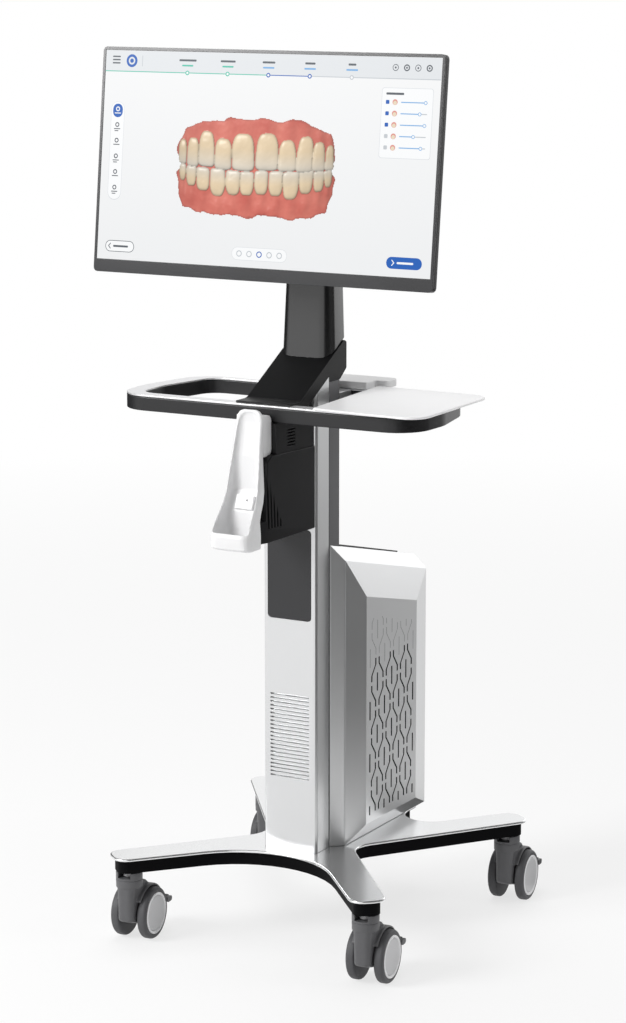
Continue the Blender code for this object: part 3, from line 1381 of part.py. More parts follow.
def wave_slot(middle, top, side):
    """One bent slot of the grille, from a bridge down to the next, swinging from one side to the other."""
    half = GRILLE_SLOT / 2
    first, last = middle - side * GRILLE_WAVE, middle + side * GRILLE_WAVE
    high = top - GRILLE_BRIDGE / 2
    low = top - GRILLE_PITCH_Z + GRILLE_BRIDGE / 2
    bends = (top - GRILLE_STRAIGHT, top - GRILLE_PITCH_Z + GRILLE_STRAIGHT)
    path = [(first, high), (first, bends[0]), (last, bends[1]), (last, low)]
    return [(y - half, z) for y, z in path] + [(y + half, z) for y, z in reversed(path)]


def centre_slot(middle, high, low):
    """One straight slot of the grille."""
    half = GRILLE_SLOT / 2
    return [(middle - half, low), (middle + half, low), (middle + half, high), (middle - half, high)]


def grille_slots():
    """Every slot of one flank's grille: bent slots in swaying pairs, with straight ones in their bellies."""
    panel = flank_outline(PANEL_INSET, PANEL_TOP_INSET, PANEL_LOW_INSET)
    middle = (panel[0][0] + panel[1][0]) / 2
    bottom = panel[0][1] + GRILLE_MARGIN
    top = bottom + GRILLE_ROWS * GRILLE_PITCH_Z
    first = middle - (GRILLE_COLUMNS - 1) * GRILLE_PITCH_Y / 2
    slots = []
    for column in range(GRILLE_COLUMNS - 1):
        between = first + (column + 0.5) * GRILLE_PITCH_Y
        for row in range(GRILLE_ROWS):
            side = 1 if (column + row) % 2 else -1
            slots.append(wave_slot(between, top - row * GRILLE_PITCH_Z, side))
    for column in range(GRILLE_COLUMNS):
        place = first + column * GRILLE_PITCH_Y
        for row in range(1, GRILLE_ROWS + 1):
            if (column + row) % 2:
                continue
            belly = top - row * GRILLE_PITCH_Z
            reach = GRILLE_CENTRE_SLOT / 2
            low = max(belly - reach, bottom)
            slots.append(centre_slot(place, belly + reach, low))
    return slots


def make_flank(cart, paints, name, side):
    """One flank cover: a raised tray of sheet with the grille cut through its panel."""
    inner_x = HOUSING_HALF_WIDTH + GAP
    outer_x = inner_x + PANEL_RAISE
    base = flank_outline(0.0, 0.0, 0.0)
    panel = flank_outline(PANEL_INSET, PANEL_TOP_INSET, PANEL_LOW_INSET)
    rim = flank_outline(PANEL_RIM, PANEL_RIM, PANEL_RIM)
    insets = [inset + PANEL_WALL for inset in (PANEL_INSET, PANEL_TOP_INSET, PANEL_LOW_INSET)]
    floor = flank_outline(*insets)
    edge = inner_x + PANEL_EDGE

    def level(outline, x):
        return [(side * x, y, z) for y, z in outline]

    cover = loft([level(base, inner_x), level(base, edge), level(panel, outer_x)])
    hollow = loft([level(rim, inner_x - MM), level(rim, inner_x), level(floor, outer_x - PANEL_WALL)])
    ends = sorted((side * (inner_x - MM), side * (outer_x + MM)))
    cut(cover, hollow, prisms(grille_slots(), *ends, "X"))
    finished(cover, name, paints["silver"], cart)


def main():
    clear_scene()
    paints = {
        "silver": material("silver_paint", (0.62, 0.63, 0.64), 0.35, 0.25),
        "white": material("white_plastic", (0.86, 0.86, 0.86), 0.3),
        "black": material("black_plastic", (0.03, 0.03, 0.032), 0.45),
        "gloss_black": material("gloss_black", (0.035, 0.035, 0.037), 0.25),
        "grey": material("dark_grey_plastic", (0.09, 0.09, 0.095), 0.5),
        "steel": material("bright_steel", (0.6, 0.6, 0.6), 0.3, 1.0),
        "tyre": material("grey_tyre", (0.07, 0.07, 0.075), 0.6),
        "cap": material("grey_cap", (0.5, 0.5, 0.5), 0.4),
        "screen": material("screen_glass", (0.75, 0.77, 0.8), 0.15),
    }
    cart = empty("cart", None, (0.0, BASE_MIDDLE_Y, 0.0))
    make_base(cart, paints)
    make_casters(cart, paints)
    make_column(cart, paints)
    make_bracket(cart, paints)
    make_neck(cart, paints)
    make_monitor(cart, paints)
    make_ring(cart, paints)
    make_tray(cart, paints)
    make_rear(cart, paints)
    make_holder(cart, paints)
    make_cradle(cart, paints)
    make_housing_body(cart, paints)
    make_top_vent(cart, paints)
    make_flank(cart, paints, "cover_right", 1)
    make_flank(cart, paints, "cover_left", -1)


main()
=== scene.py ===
# %% [markdown]
# # A mobile cart for an intraoral scanner
#
# The cart is a rolling stand that a dentist pushes to the chair: a tilting monitor on a silver column, a
# handle ring with a tray, a cradle for the scanner's handpiece, a vented housing for the computer, and four
# legs on twin-wheel casters.
#
# The solids of the cart come first, as a fixed frame. Everything below either gives a solid a better finish
# or puts a finer piece in its place. Nothing in the frame is moved.

# %% Load the frame
import json
import math

import bmesh
import bpy
import numpy as np
from mathutils import Matrix, Vector

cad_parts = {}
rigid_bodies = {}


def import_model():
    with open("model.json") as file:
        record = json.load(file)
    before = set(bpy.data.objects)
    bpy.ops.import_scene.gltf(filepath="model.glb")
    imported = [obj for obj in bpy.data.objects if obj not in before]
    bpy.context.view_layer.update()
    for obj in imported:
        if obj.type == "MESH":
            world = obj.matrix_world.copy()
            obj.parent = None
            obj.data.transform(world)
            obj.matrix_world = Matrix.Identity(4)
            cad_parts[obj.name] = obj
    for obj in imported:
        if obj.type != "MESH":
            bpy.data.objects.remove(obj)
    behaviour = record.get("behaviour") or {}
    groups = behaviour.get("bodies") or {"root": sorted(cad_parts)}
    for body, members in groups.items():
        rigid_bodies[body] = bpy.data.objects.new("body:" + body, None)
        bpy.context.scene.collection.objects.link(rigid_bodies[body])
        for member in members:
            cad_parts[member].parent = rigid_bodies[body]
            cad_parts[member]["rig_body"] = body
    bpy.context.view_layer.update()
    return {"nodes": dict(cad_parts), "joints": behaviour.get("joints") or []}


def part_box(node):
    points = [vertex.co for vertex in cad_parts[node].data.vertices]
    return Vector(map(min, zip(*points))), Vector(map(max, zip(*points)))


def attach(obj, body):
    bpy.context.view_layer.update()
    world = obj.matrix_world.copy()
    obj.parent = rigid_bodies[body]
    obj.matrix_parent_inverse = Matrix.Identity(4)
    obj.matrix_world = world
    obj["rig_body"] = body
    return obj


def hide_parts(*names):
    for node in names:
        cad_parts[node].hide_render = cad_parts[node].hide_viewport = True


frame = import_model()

MM = 0.001
joints = {joint["name"]: joint for joint in frame["joints"]}

# %% [markdown]
# ## The camera
#
# The picture was taken from the cart's right front, a little above the monitor, with a long lens, which
# keeps the column's edges almost parallel. The sensor is fitted to the tall side, because the frame is
# upright.

# %% Place the camera
LENS, LOOKS_DOWN, TURNED = 105.04, 11.13, 29.09
TO_THE_RIGHT, IN_FRONT, ABOVE_FLOOR = 2.0622, 3.6368, 1.4597
camera_data = bpy.data.cameras.new("camera")
camera_data.sensor_fit = "VERTICAL"
camera_data.sensor_height = 36.0
camera_data.lens = LENS
camera = bpy.data.objects.new("camera", camera_data)
column_front_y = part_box("column_front")[0].y
camera.location = (TO_THE_RIGHT, column_front_y - IN_FRONT, ABOVE_FLOOR)
camera.rotation_euler = (math.radians(90.0 - LOOKS_DOWN), 0.0, math.radians(TURNED))
bpy.context.scene.collection.objects.link(camera)
bpy.context.scene.camera = camera
bpy.context.scene.view_settings.view_transform = "Standard"
print("camera", tuple(camera.location), camera_data.lens)

# %% [markdown]
# ## Writing materials as sums
#
# A material is a small network of nodes. Wiring it by hand takes many lines, so a class wraps one socket
# and lets ordinary arithmetic add the Math nodes: `cloud * 0.08 + 0.3` becomes two nodes. Every other node
# comes from one method that takes its type, its settings and its inputs.


# %% A wrapped socket and a recipe
# A Mix node has sockets for numbers, vectors and colours; these are the places of the colours'.
MIX_A, MIX_B, MIX_RESULT = 6, 7, 2


class Wire:
    """One output of a node, on which arithmetic adds Math nodes."""

    def __init__(self, recipe, socket):
        self.recipe = recipe
        self.socket = socket

    def math(self, operation, first, second):
        return self.recipe.node("ShaderNodeMath", {"operation": operation}, {0: first, 1: second})

    def __add__(self, other):
        return self.math("ADD", self, other)

    def __radd__(self, other):
        return self.math("ADD", other, self)

    def __mul__(self, other):
        return self.math("MULTIPLY", self, other)

    def __rmul__(self, other):
        return self.math("MULTIPLY", other, self)


class Recipe:
    """A material whose nodes are added by calls."""

    def __init__(self, name):
        self.material = bpy.data.materials.new(name)
        self.material.use_nodes = True
        self.tree = self.material.node_tree
        self.shader = self.tree.nodes["Principled BSDF"]
        self.place = self.node("ShaderNodeTexCoord", {}, {}, "Object")

    def node(self, kind, settings, inputs, output=0):
        made = self.tree.nodes.new(kind)
        for name, value in settings.items():
            setattr(made, name, value)
        for name, value in inputs.items():
            if isinstance(value, Wire):
                self.tree.links.new(value.socket, made.inputs[name])
            else:
                made.inputs[name].default_value = value
        return Wire(self, made.outputs[output])

    def noise(self, scale, detail=2.0):
        inputs = {"Vector": self.place, "Scale": scale, "Detail": detail}
        return self.node("ShaderNodeTexNoise", {}, inputs, "Fac")

    def blend(self, share, first, second):
        inputs = {"Factor": share, MIX_A: (*first, 1.0), MIX_B: (*second, 1.0)}
        return self.node("ShaderNodeMix", {"data_type": "RGBA"}, inputs, MIX_RESULT)

    def bump(self, height, strength, distance):
        inputs = {"Height": height, "Strength": strength, "Distance": distance}
        return self.node("ShaderNodeBump", {}, inputs, "Normal")

    def feed(self, **inputs):
        for name, value in inputs.items():
            socket = self.shader.inputs[name.replace("_", " ").title().replace("Ior", "IOR")]
            if isinstance(value, Wire):
                self.tree.links.new(value.socket, socket)
            else:
                socket.default_value = value
        return self.material


def scaled(colour, factor):
    return tuple(min(1.0, channel * factor) for channel in colour)


# %% [markdown]
# ## The finishes
#
# The real cart has few finishes, and they differ mostly in gloss. Its silver is a satin powder paint with
# fine metal flake, so it mixes a metallic share with a fine, bright speckle. Its plastics are moulded: a
# fine grain breaks the highlight, and slow changes of roughness keep large faces from looking printed.


# %% Painted, moulded and metal finishes
def flake_paint(name, colour, roughness, metallic):
    """Satin paint with metal flake and a faint orange peel."""
    recipe = Recipe(name)
    flake = recipe.noise(2600.0, 0.0)
    cloud = recipe.noise(5.0, 3.0)
    tone = flake * 0.5 + cloud * 0.5
    peel = recipe.noise(420.0, 1.0)
    return recipe.feed(
        base_color=recipe.blend(tone, scaled(colour, 0.95), scaled(colour, 1.05)),
        roughness=cloud * 0.08 + (roughness - 0.04),
        metallic=metallic,
        normal=recipe.bump(peel * 0.6 + flake * 0.4, 0.06, 0.2 * MM),
    )


def moulded(name, colour, roughness, grain=0.12, specular=0.5):
    """Injection-moulded plastic: an even colour, a fine eroded grain and slow changes of gloss."""
    recipe = Recipe(name)
    fine = recipe.noise(1500.0, 2.0)
    slow = recipe.noise(7.0, 2.0)
    return recipe.feed(
        base_color=recipe.blend(slow * 0.6 + fine * 0.4, scaled(colour, 0.92), scaled(colour, 1.08)),
        roughness=slow * 0.10 + fine * 0.04 + (roughness - 0.07),
        specular_ior_level=specular,
        normal=recipe.bump(fine, grain, 0.12 * MM),
    )


def turned_steel(name, colour, roughness):
    """Bright turned steel, with fine lines round its axis left by the tool."""
    recipe = Recipe(name)
    stretched = recipe.node("ShaderNodeMapping", {}, {"Vector": recipe.place, "Scale": (1.0, 1.0, 40.0)})
    inputs = {"Vector": stretched, "Scale": 160.0, "Detail": 2.0}
    lines = recipe.node("ShaderNodeTexNoise", {}, inputs, "Fac")
    return recipe.feed(
        base_color=recipe.blend(lines, scaled(colour, 0.88), scaled(colour, 1.06)),
        roughness=lines * 0.14 + (roughness - 0.07),
        metallic=1.0,
        normal=recipe.bump(lines, 0.10, 0.1 * MM),
    )


def tyre_rubber(name, colour):
    """Grey soft rubber: matt, slightly mottled, with a dusty tread."""
    recipe = Recipe(name)
    fine = recipe.noise(900.0, 3.0)
    slow = recipe.noise(30.0, 2.0)
    return recipe.feed(
        base_color=recipe.blend(slow, scaled(colour, 0.88), scaled(colour, 1.14)),
        roughness=fine * 0.10 + 0.50,
        specular_ior_level=0.35,
        normal=recipe.bump(fine, 0.16, 0.15 * MM),
    )


finishes = {
    "silver": flake_paint("silver_satin_paint", (0.70, 0.705, 0.71), 0.30, 0.88),
    "cover_silver": flake_paint("base_cover_silver", (0.84, 0.845, 0.85), 0.24, 0.92),
    "trim": flake_paint("pale_silver_trim", (0.78, 0.78, 0.79), 0.30, 0.55),
    "white": moulded("white_plastic", (0.80, 0.80, 0.805), 0.34, 0.05),
    "tray_white": moulded("tray_white_plate", (0.92, 0.92, 0.925), 0.36, 0.04),
    "black": moulded("black_satin_plastic", (0.012, 0.012, 0.013), 0.36, specular=0.42),
    "deep_black": moulded("deep_black_plastic", (0.005, 0.005, 0.0055), 0.40, specular=0.18),
    "skirt": moulded("matt_black_skirt", (0.004, 0.004, 0.0045), 0.55, specular=0.04),
    "gloss_black": moulded("black_gloss_panel", (0.030, 0.030, 0.032), 0.20, 0.02, specular=0.40),
    "grey": moulded("dark_grey_plastic", (0.105, 0.105, 0.11), 0.42, specular=0.40),
    "neck": moulded("neck_gloss_plastic", (0.005, 0.005, 0.0055), 0.25, 0.04, specular=1.0),
    # Near black for slot walls, grille backing, slot bars and the computer inside: painted shade of the
    # openings and the housing's inside.
    "inside_shade": moulded("painted_inside_shade", (0.006, 0.006, 0.007), 0.60, specular=0.10),
    "cap": moulded("pale_grey_cap", (0.60, 0.60, 0.61), 0.36, 0.06),
    "cap_rim": moulded("bright_cap_rim", (0.88, 0.88, 0.89), 0.30, 0.04),
    # Dark grey for the engraved pattern's flat strips: the pattern is real, its darkness painted shade.
    "groove_shade": moulded("engraved_line", (0.16, 0.16, 0.165), 0.60, specular=0.20),
    "steel": turned_steel("bright_steel", (0.70, 0.70, 0.71), 0.28),
    "tyre": tyre_rubber("grey_tyre_rubber", (0.085, 0.085, 0.09)),
}
print("finishes", len(finishes))

# %% [markdown]
# ## Finer copies of the solids
#
# A solid's mesh comes from the frame as loose triangles with hard edges. A real edge is never sharp, and
# the thin highlight along it tells the eye what the thing is made of. So most solids get a finer copy:
# their points are merged, flat triangles are joined again, sharp edges are broken with a bevel, and curved
# faces are shaded smooth with normals weighted by area, so that flat faces stay flat.


# %% Small helpers for meshes
def linked(name, mesh):
    piece = bpy.data.objects.new(name, mesh)
    bpy.context.scene.collection.objects.link(piece)
    return piece


def settled(piece, name):
    """The piece with its modifiers made part of its mesh."""
    bpy.context.view_layer.update()
    graph = bpy.context.evaluated_depsgraph_get()
    mesh = bpy.data.meshes.new_from_object(piece.evaluated_get(graph))
    mesh.name = name
    piece.modifiers.clear()
    piece.data = mesh
    return piece


def painted(piece, finish):
    piece.data.materials.clear()
    piece.data.materials.append(finishes[finish])
    return piece


def merged_copy(node):
    """A copy of a node, its points merged and its flat faces joined."""
    shape = bmesh.new()
    shape.from_mesh(frame["nodes"][node].data)
    bmesh.ops.remove_doubles(shape, verts=shape.verts, dist=0.01 * MM)
    bmesh.ops.dissolve_limit(shape, angle_limit=math.radians(0.3), verts=shape.verts, edges=shape.edges)
    mesh = bpy.data.meshes.new(f"{node}_fine")
    shape.to_mesh(mesh)
    shape.free()
    return linked(f"{node}_fine", mesh)


def melted(piece, name, rounds):
    """The piece remeshed finely and smoothed, so that its edges melt."""
    skin = piece.modifiers.new("fine skin", "REMESH")
    skin.mode = "VOXEL"
    skin.voxel_size = 0.9 * MM
    softening = piece.modifiers.new("round edges", "SMOOTH")
    softening.factor = 0.5
    softening.iterations = rounds
    return settled(piece, name)


def smooth_by_angle(piece, angle):
    piece.data.shade_smooth()
    piece.data.set_sharp_from_angle(angle=math.radians(angle))


# %% Place a piece on its body and make a finer copy of a solid
def beside(piece, node):
    """Adds a piece of its own to a node's body."""
    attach(piece, frame["nodes"][node]["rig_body"])
    return piece


def stand_in(piece, node):
    """Puts a finer piece in the place of a node, on the node's own body."""
    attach(piece, frame["nodes"][node]["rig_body"])
    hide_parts(node)
    return piece


EDGE_FROM = 38.0


def fine(node, finish, edge, segments=2, angle=33.0):
    """A node's finer copy, with its edges broken, in the node's place."""
    piece = merged_copy(node)
    bevel = piece.modifiers.new("edges", "BEVEL")
    bevel.width = edge * MM
    bevel.segments = segments
    bevel.limit_method = "ANGLE"
    bevel.angle_limit = math.radians(EDGE_FROM)
    bevel.use_clamp_overlap = True
    settled(piece, piece.name)
    smooth_by_angle(piece, angle)
    weighting = piece.modifiers.new("weighting", "WEIGHTED_NORMAL")
    weighting.keep_sharp = True
    settled(piece, piece.name)
    painted(piece, finish)
    return stand_in(piece, node)


# %% [markdown]
# ## Turned pieces
#
# Tyres, caps and stems are round, so each is a profile swept round an axis. The profile's corners get their
# own radii first, because a lathe carries them round for nothing.


# %% Profiles and the lathe
def rounded(corners, steps=5):
    """A closed outline from corners (a, b, radius), each turned into an arc."""
    outline = []
    for index, (a, b, radius) in enumerate(corners):
        here = Vector((a, b))
        if radius <= 0:
            outline.append(here)
            continue
        to_last = (Vector(corners[index - 1][:2]) - here).normalized()
        to_next = (Vector(corners[(index + 1) % len(corners)][:2]) - here).normalized()
        half = to_last.angle(to_next) / 2
        middle = here + (to_last + to_next).normalized() * radius / math.sin(half)
        spoke = here + to_last * radius / math.tan(half) - middle
        end = here + to_next * radius / math.tan(half) - middle
        turn = math.atan2(spoke.x * end.y - spoke.y * end.x, spoke.dot(end))
        for step in range(steps + 1):
            outline.append(middle + Matrix.Rotation(turn * step / steps, 2) @ spoke)
    return outline


def mesh_object(name, shape, place=None):
    """An object from a bmesh, merged, facing out, with its place in its points."""
    bmesh.ops.remove_doubles(shape, verts=shape.verts, dist=0.001 * MM)
    bmesh.ops.recalc_face_normals(shape, faces=shape.faces)
    mesh = bpy.data.meshes.new(name)
    shape.to_mesh(mesh)
    shape.free()
    if place is not None:
        mesh.transform(place)
    return linked(name, mesh)


def turned(name, outline, steps=72, place=None):
    """A solid of revolution about the X axis, from a closed outline of (x, radius) in mm."""
    shape = bmesh.new()
    rings = []
    for x, radius in outline:
        angles = [2 * math.pi * step / steps for step in range(steps)]
        circle = [(x, radius * math.sin(angle), radius * math.cos(angle)) for angle in angles]
        rings.append([shape.verts.new(Vector(point) * MM) for point in circle])
    for index, ring in enumerate(rings):
        last = rings[index - 1]
        if outline[index][1] < 1e-6 and outline[index - 1][1] < 1e-6:
            continue
        for step in range(steps):
            shape.faces.new((last[step - 1], last[step], ring[step], ring[step - 1]))
    piece = mesh_object(name, shape, place)
    smooth_by_angle(piece, 40.0)
    return piece


# %% [markdown]
# ## Stacks of sections, boxes and cuts
#
# A casting's barrel or a bent bar is a stack of sections: each ring of points is joined to the next, and
# the ends are closed. Holes and notches are cut with a Boolean, which is made part of the mesh at once, so
# that its tool can go.


# %% Stacks, boxes and cuts
def lofted(name, rings):
    """A closed solid through rings of equally many points in mm."""
    shape = bmesh.new()
    levels = [[shape.verts.new(Vector(point) * MM) for point in ring] for ring in rings]
    for last, level in zip(levels, levels[1:]):
        for index in range(len(level)):
            shape.faces.new((last[index - 1], last[index], level[index], level[index - 1]))
    shape.faces.new(levels[0])
    shape.faces.new(levels[-1])
    return mesh_object(name, shape)


def block(name, low, high):
    """A plain box between two corners in mm."""
    shape = bmesh.new()
    bmesh.ops.create_cube(shape, size=1.0)
    for point in shape.verts:
        point.co = Vector([(a + b) / 2 + (b - a) * c for a, b, c in zip(low, high, point.co)]) * MM
    return mesh_object(name, shape)


def carved(piece, *tools):
    """The piece with the tools' shapes cut out; the tools are deleted."""
    for tool in tools:
        cut = piece.modifiers.new("cut", "BOOLEAN")
        cut.operation = "DIFFERENCE"
        cut.object = tool
        settled(piece, piece.name)
        bpy.data.objects.remove(tool)
    return piece


# %% [markdown]
# ## Rows and columns with Geometry Nodes
#
# Ribs, cooling slots and screws repeat evenly. One small tree does all of them: it copies the
# object's own mesh along two lines, makes the copies real, and gives them their material. Its sizes are
# named inputs, so the same tree serves each use.


# %% The tree that repeats a shape
def grid_tree():
    tree = bpy.data.node_groups.new("rows_and_columns", "GeometryNodeTree")
    face = tree.interface
    face.new_socket("Shape", in_out="INPUT", socket_type="NodeSocketGeometry")
    for name in ("Columns", "Rows"):
        socket = face.new_socket(name, in_out="INPUT", socket_type="NodeSocketInt")
        socket.default_value = 1
    for name in ("Column step", "Row step"):
        face.new_socket(name, in_out="INPUT", socket_type="NodeSocketVector")
    face.new_socket("Finish", in_out="INPUT", socket_type="NodeSocketMaterial")
    face.new_socket("Shape", in_out="OUTPUT", socket_type="NodeSocketGeometry")
    nodes, links = tree.nodes, tree.links
    given = nodes.new("NodeGroupInput")
    result = nodes.new("NodeGroupOutput")
    source = given.outputs["Shape"]
    for count, step in (("Columns", "Column step"), ("Rows", "Row step")):
        line = nodes.new("GeometryNodeMeshLine")
        line.mode = "OFFSET"
        links.new(given.outputs[count], line.inputs["Count"])
        links.new(given.outputs[step], line.inputs["Offset"])
        copies = nodes.new("GeometryNodeInstanceOnPoints")
        links.new(line.outputs["Mesh"], copies.inputs["Points"])
        links.new(source, copies.inputs["Instance"])
        source = copies.outputs["Instances"]
    real = nodes.new("GeometryNodeRealizeInstances")
    finish = nodes.new("GeometryNodeSetMaterial")
    links.new(source, real.inputs["Geometry"])
    links.new(real.outputs["Geometry"], finish.inputs["Geometry"])
    links.new(given.outputs["Finish"], finish.inputs["Material"])
    links.new(finish.outputs["Geometry"], result.inputs["Shape"])
    return tree


ROWS_AND_COLUMNS = grid_tree()


def repeated(piece, finish, columns, column_step, rows=1, row_step=(0.0, 0.0, 0.0)):
    """The piece's mesh copied along two lines, as one plain mesh."""
    copier = piece.modifiers.new("copies", "NODES")
    copier.node_group = ROWS_AND_COLUMNS
    values = {
        "Columns": columns,
        "Rows": rows,
        "Column step": column_step,
        "Row step": row_step,
        "Finish": finishes[finish],
    }
    for item in ROWS_AND_COLUMNS.interface.items_tree:
        if item.in_out == "INPUT" and item.name in values:
            copier[item.identifier] = values[item.name]
    settled(piece, piece.name)
    return painted(piece, finish)


print("inputs", [item.name for item in ROWS_AND_COLUMNS.interface.items_tree])

# %% [markdown]
# ## Base, column and housing
#
# These are sheet metal and castings. Their shapes are right in the solids, so each takes a finer copy. The
# base's black skirt sits in from the silver cover, which gives the shadow line under the legs. The walls of
# the covers' narrow slots are painted near black, as painted shade inside the slots.

# %% Dress the base, the column and the housing
fine("base_frame", "skirt", 1.2)
fine("base_cover", "cover_silver", 0.9, 3)
fine("column_profile", "silver", 0.5)
fine("column_front", "silver", 0.35)
fine("column_channel", "grey", 0.4)
fine("badge_panel", "gloss_black", 0.3)
fine("housing_body", "silver", 0.7, 2, 8.0)
COVER_INSIDE = 67.5
for name in ("cover_right", "cover_left"):
    cover = fine(name, "silver", 0.3, 2, 6.0)
    # The slot walls take the near-black finish: painted shade inside the slots.
    cover.data.materials.append(finishes["inside_shade"])
    for face in cover.data.polygons:
        if abs(face.normal.x) < 0.5 and abs(face.center.x) > COVER_INSIDE * MM:
            face.material_index = 1
fine("top_vent", "black", 0.3)
# The computer is dark grey of its own, darkened to near black as painted shade of the housing's inside.
painted(frame["nodes"]["computer_unit"], "inside_shade")

# %% [markdown]
# ## Behind and above the grilles
#
# A near-black sheet behind each grille stands in for the shade inside the housing, so the slots look black:
# painted shade. Above the open slots the same pattern goes on as engraved lines, up to a line parallel with
# the roof; their dark grey is painted shade of the engraving.

# %% Dark backing as painted shade, and engraved lines
GRILLE_TOP, GRILLE_ROW, GRILLE_COLUMN, GRILLE_WAVE = 404.3, 39.8, 22.8, 6.2
ENGRAVED_TOP, ROOF_FALL = 467.0, 0.232
PANEL_FACE = 70.1
cover_low, cover_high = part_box("cover_right")
FIRST_COLUMN = cover_low.y / MM + 59.6


def under_roof(path):
    """A falling path's part below the engraving's sloping top line."""
    kept = []
    for (y, z), (next_y, next_z) in zip(path, path[1:]):
        limit = ENGRAVED_TOP - ROOF_FALL * (y - FIRST_COLUMN)
        if next_z >= limit:
            continue
        share = max(0.0, (z - limit) / (z - next_z))
        kept.append((y + (next_y - y) * share, z + (next_z - z) * share))
    return kept + [path[-1]] if kept else []


def engraving():
    """The engraved paths of one flank, as lists of (y, z)."""
    paths = []
    for column in range(6):
        middle = FIRST_COLUMN + (column + 0.5) * GRILLE_COLUMN
        for row in (-1, -2):
            sway = GRILLE_WAVE if (column + row) % 2 else -GRILLE_WAVE
            top = GRILLE_TOP - row * GRILLE_ROW
            heights = (top - 2.7, top - 12.0, top - 27.8, top - 37.1)
            paths.append([(middle - sway, heights[0]), (middle - sway, heights[1])])
            paths[-1] += [(middle + sway, heights[2]), (middle + sway, heights[3])]
    for column in range(7):
        y = FIRST_COLUMN + column * GRILLE_COLUMN
        belly = GRILLE_TOP + (column % 2) * GRILLE_ROW
        paths += [[(y, belly + 14.0), (y, belly - 14.0)], [(y, belly + 93.6), (y, belly + 65.6)]]
    return [kept for kept in map(under_roof, paths) if kept]


HALF_LINE = 0.5
BACKING_INSET, BACKING_LOW, BACKING_HIGH = 51.0, 158.0, 440.0
for name, side in (("right", 1.0), ("left", -1.0)):
    near, far = sorted((side * (PANEL_FACE - 3.2), side * (PANEL_FACE - 2.6)))
    low = (near, cover_low.y / MM + BACKING_INSET, BACKING_LOW)
    high = (far, cover_high.y / MM - BACKING_INSET, BACKING_HIGH)
    # A near-black block behind the grille: painted shade of the housing's inside.
    dark_backing = painted(block(f"painted_shade_backing_{name}", low, high), "inside_shade")
    beside(dark_backing, "computer_unit")
    points, faces = [], []
    for path in engraving():
        for start, end in zip(path, path[1:]):
            first = len(points)
            x = side * (PANEL_FACE + 0.05) * MM
            for (y, z), way in ((start, -1), (start, 1), (end, 1), (end, -1)):
                points.append((x, (y + way * HALF_LINE) * MM, z * MM))
            faces.append(range(first, first + 4) if side < 0 else range(first + 3, first - 1, -1))
    mesh = bpy.data.meshes.new(f"engraved_lines_{name}")
    mesh.from_pydata(points, [], faces)
    # The strips are flat; their dark grey is painted shade of the engraving.
    lines = painted(linked(f"engraved_lines_{name}", mesh), "groove_shade")
    beside(lines, f"cover_{name}")
    print(name, "engraved strips", len(faces))

# %% [markdown]
# ## Handle ring, tray and shelf
#
# The ring is a dark bar with a pale strip let into its top, and a wide bevel gives it its round edges. The
# tray and the shelf are white plates, which only need their edges broken.

# %% Dress the ring and what lies on it
fine("ring_frame", "black", 2.2, 4)
fine("ring_trim", "trim", 0.5)
fine("tray", "tray_white", 0.5)
fine("rear_shelf", "white", 0.8)
fine("rear_block", "silver", 0.5)

# %% [markdown]
# ## Head
#
# The bracket, the neck and the monitor's shell are dark plastic. The hinge behind the screen is bright
# steel.

# %% Dress the bracket, the neck, the hinge and the monitor
fine("mast_bracket", "deep_black", 0.8)
fine("neck", "neck", 0.6, 2, 40.0)
fine("tilt_block", "steel", 0.4)
fine("tilt_plate", "steel", 0.4)
painted(frame["nodes"]["tilt_pin"], "steel")
fine("monitor_shell", "black", 0.8)
fine("monitor_bezel", "gloss_black", 0.35)

# %% [markdown]
# ## Casters
#
# Each caster has a fork between two wheels, a guard over the tyres and a brake pedal behind. Tyres, discs
# and stems are turned. The four casters are alike, so each piece is made in the caster's own frame and put
# in place by a matrix from the joints.


# %% Dress the casters
def caster_frame(place):
    """The caster's own frame: X along the axle, Z up, origin on the floor under the stem."""
    stem = joints[f"{place}_swivel"]["pos_m"]
    across = Vector(joints[f"{place}_roll_a"]["axis"])
    up = Vector((0.0, 0.0, 1.0))
    turn = Matrix((across, up.cross(across), up)).transposed().to_4x4()
    return Matrix.Translation((stem[0], stem[1], 0.0)) @ turn


PLACES = ("front_left", "front_right", "back_left", "back_right")
AXLE_BACK, TYRE_RADIUS = 30.0, 38.3
TYRE = [
    (14.5, 12.0, 0.0), (14.5, TYRE_RADIUS, 3.6), (28.5, TYRE_RADIUS, 4.6),
    (28.5, 31.1, 0.5), (26.1, 31.1, 0.0), (26.1, 12.0, 0.0),
]
CAP_FACE = [(26.4, 0.0, 0.0), (26.4, 26.3, 0.0), (28.1, 26.3, 0.4), (28.8, 25.2, 0.6), (28.5, 0.0, 0.0)]
CAP_RIM = [(26.4, 26.6, 0.0), (26.4, 30.8, 0.0), (29.1, 30.8, 0.9), (29.3, 27.8, 0.8), (28.2, 26.6, 0.3)]
STEM = [
    (84.9, 0.0, 0.0), (84.9, 5.4, 0.4), (101.4, 5.4, 0.0),
    (101.4, 9.1, 0.7), (108.3, 9.1, 0.9), (108.3, 5.4, 0.0),
    (121.6, 5.4, 0.6), (121.6, 0.0, 0.0),
]
AXLE = Matrix.Translation((0.0, AXLE_BACK * MM, TYRE_RADIUS * MM))
UPRIGHT = Matrix.Rotation(math.radians(-90.0), 4, "Y")


def wheel_part(name, profile, finish):
    """A round piece of the wheel that the loop is at, from its profile."""
    outline = [(side * x, radius) for x, radius in rounded(profile)]
    return painted(turned(name, outline, 72, at @ AXLE), finish)


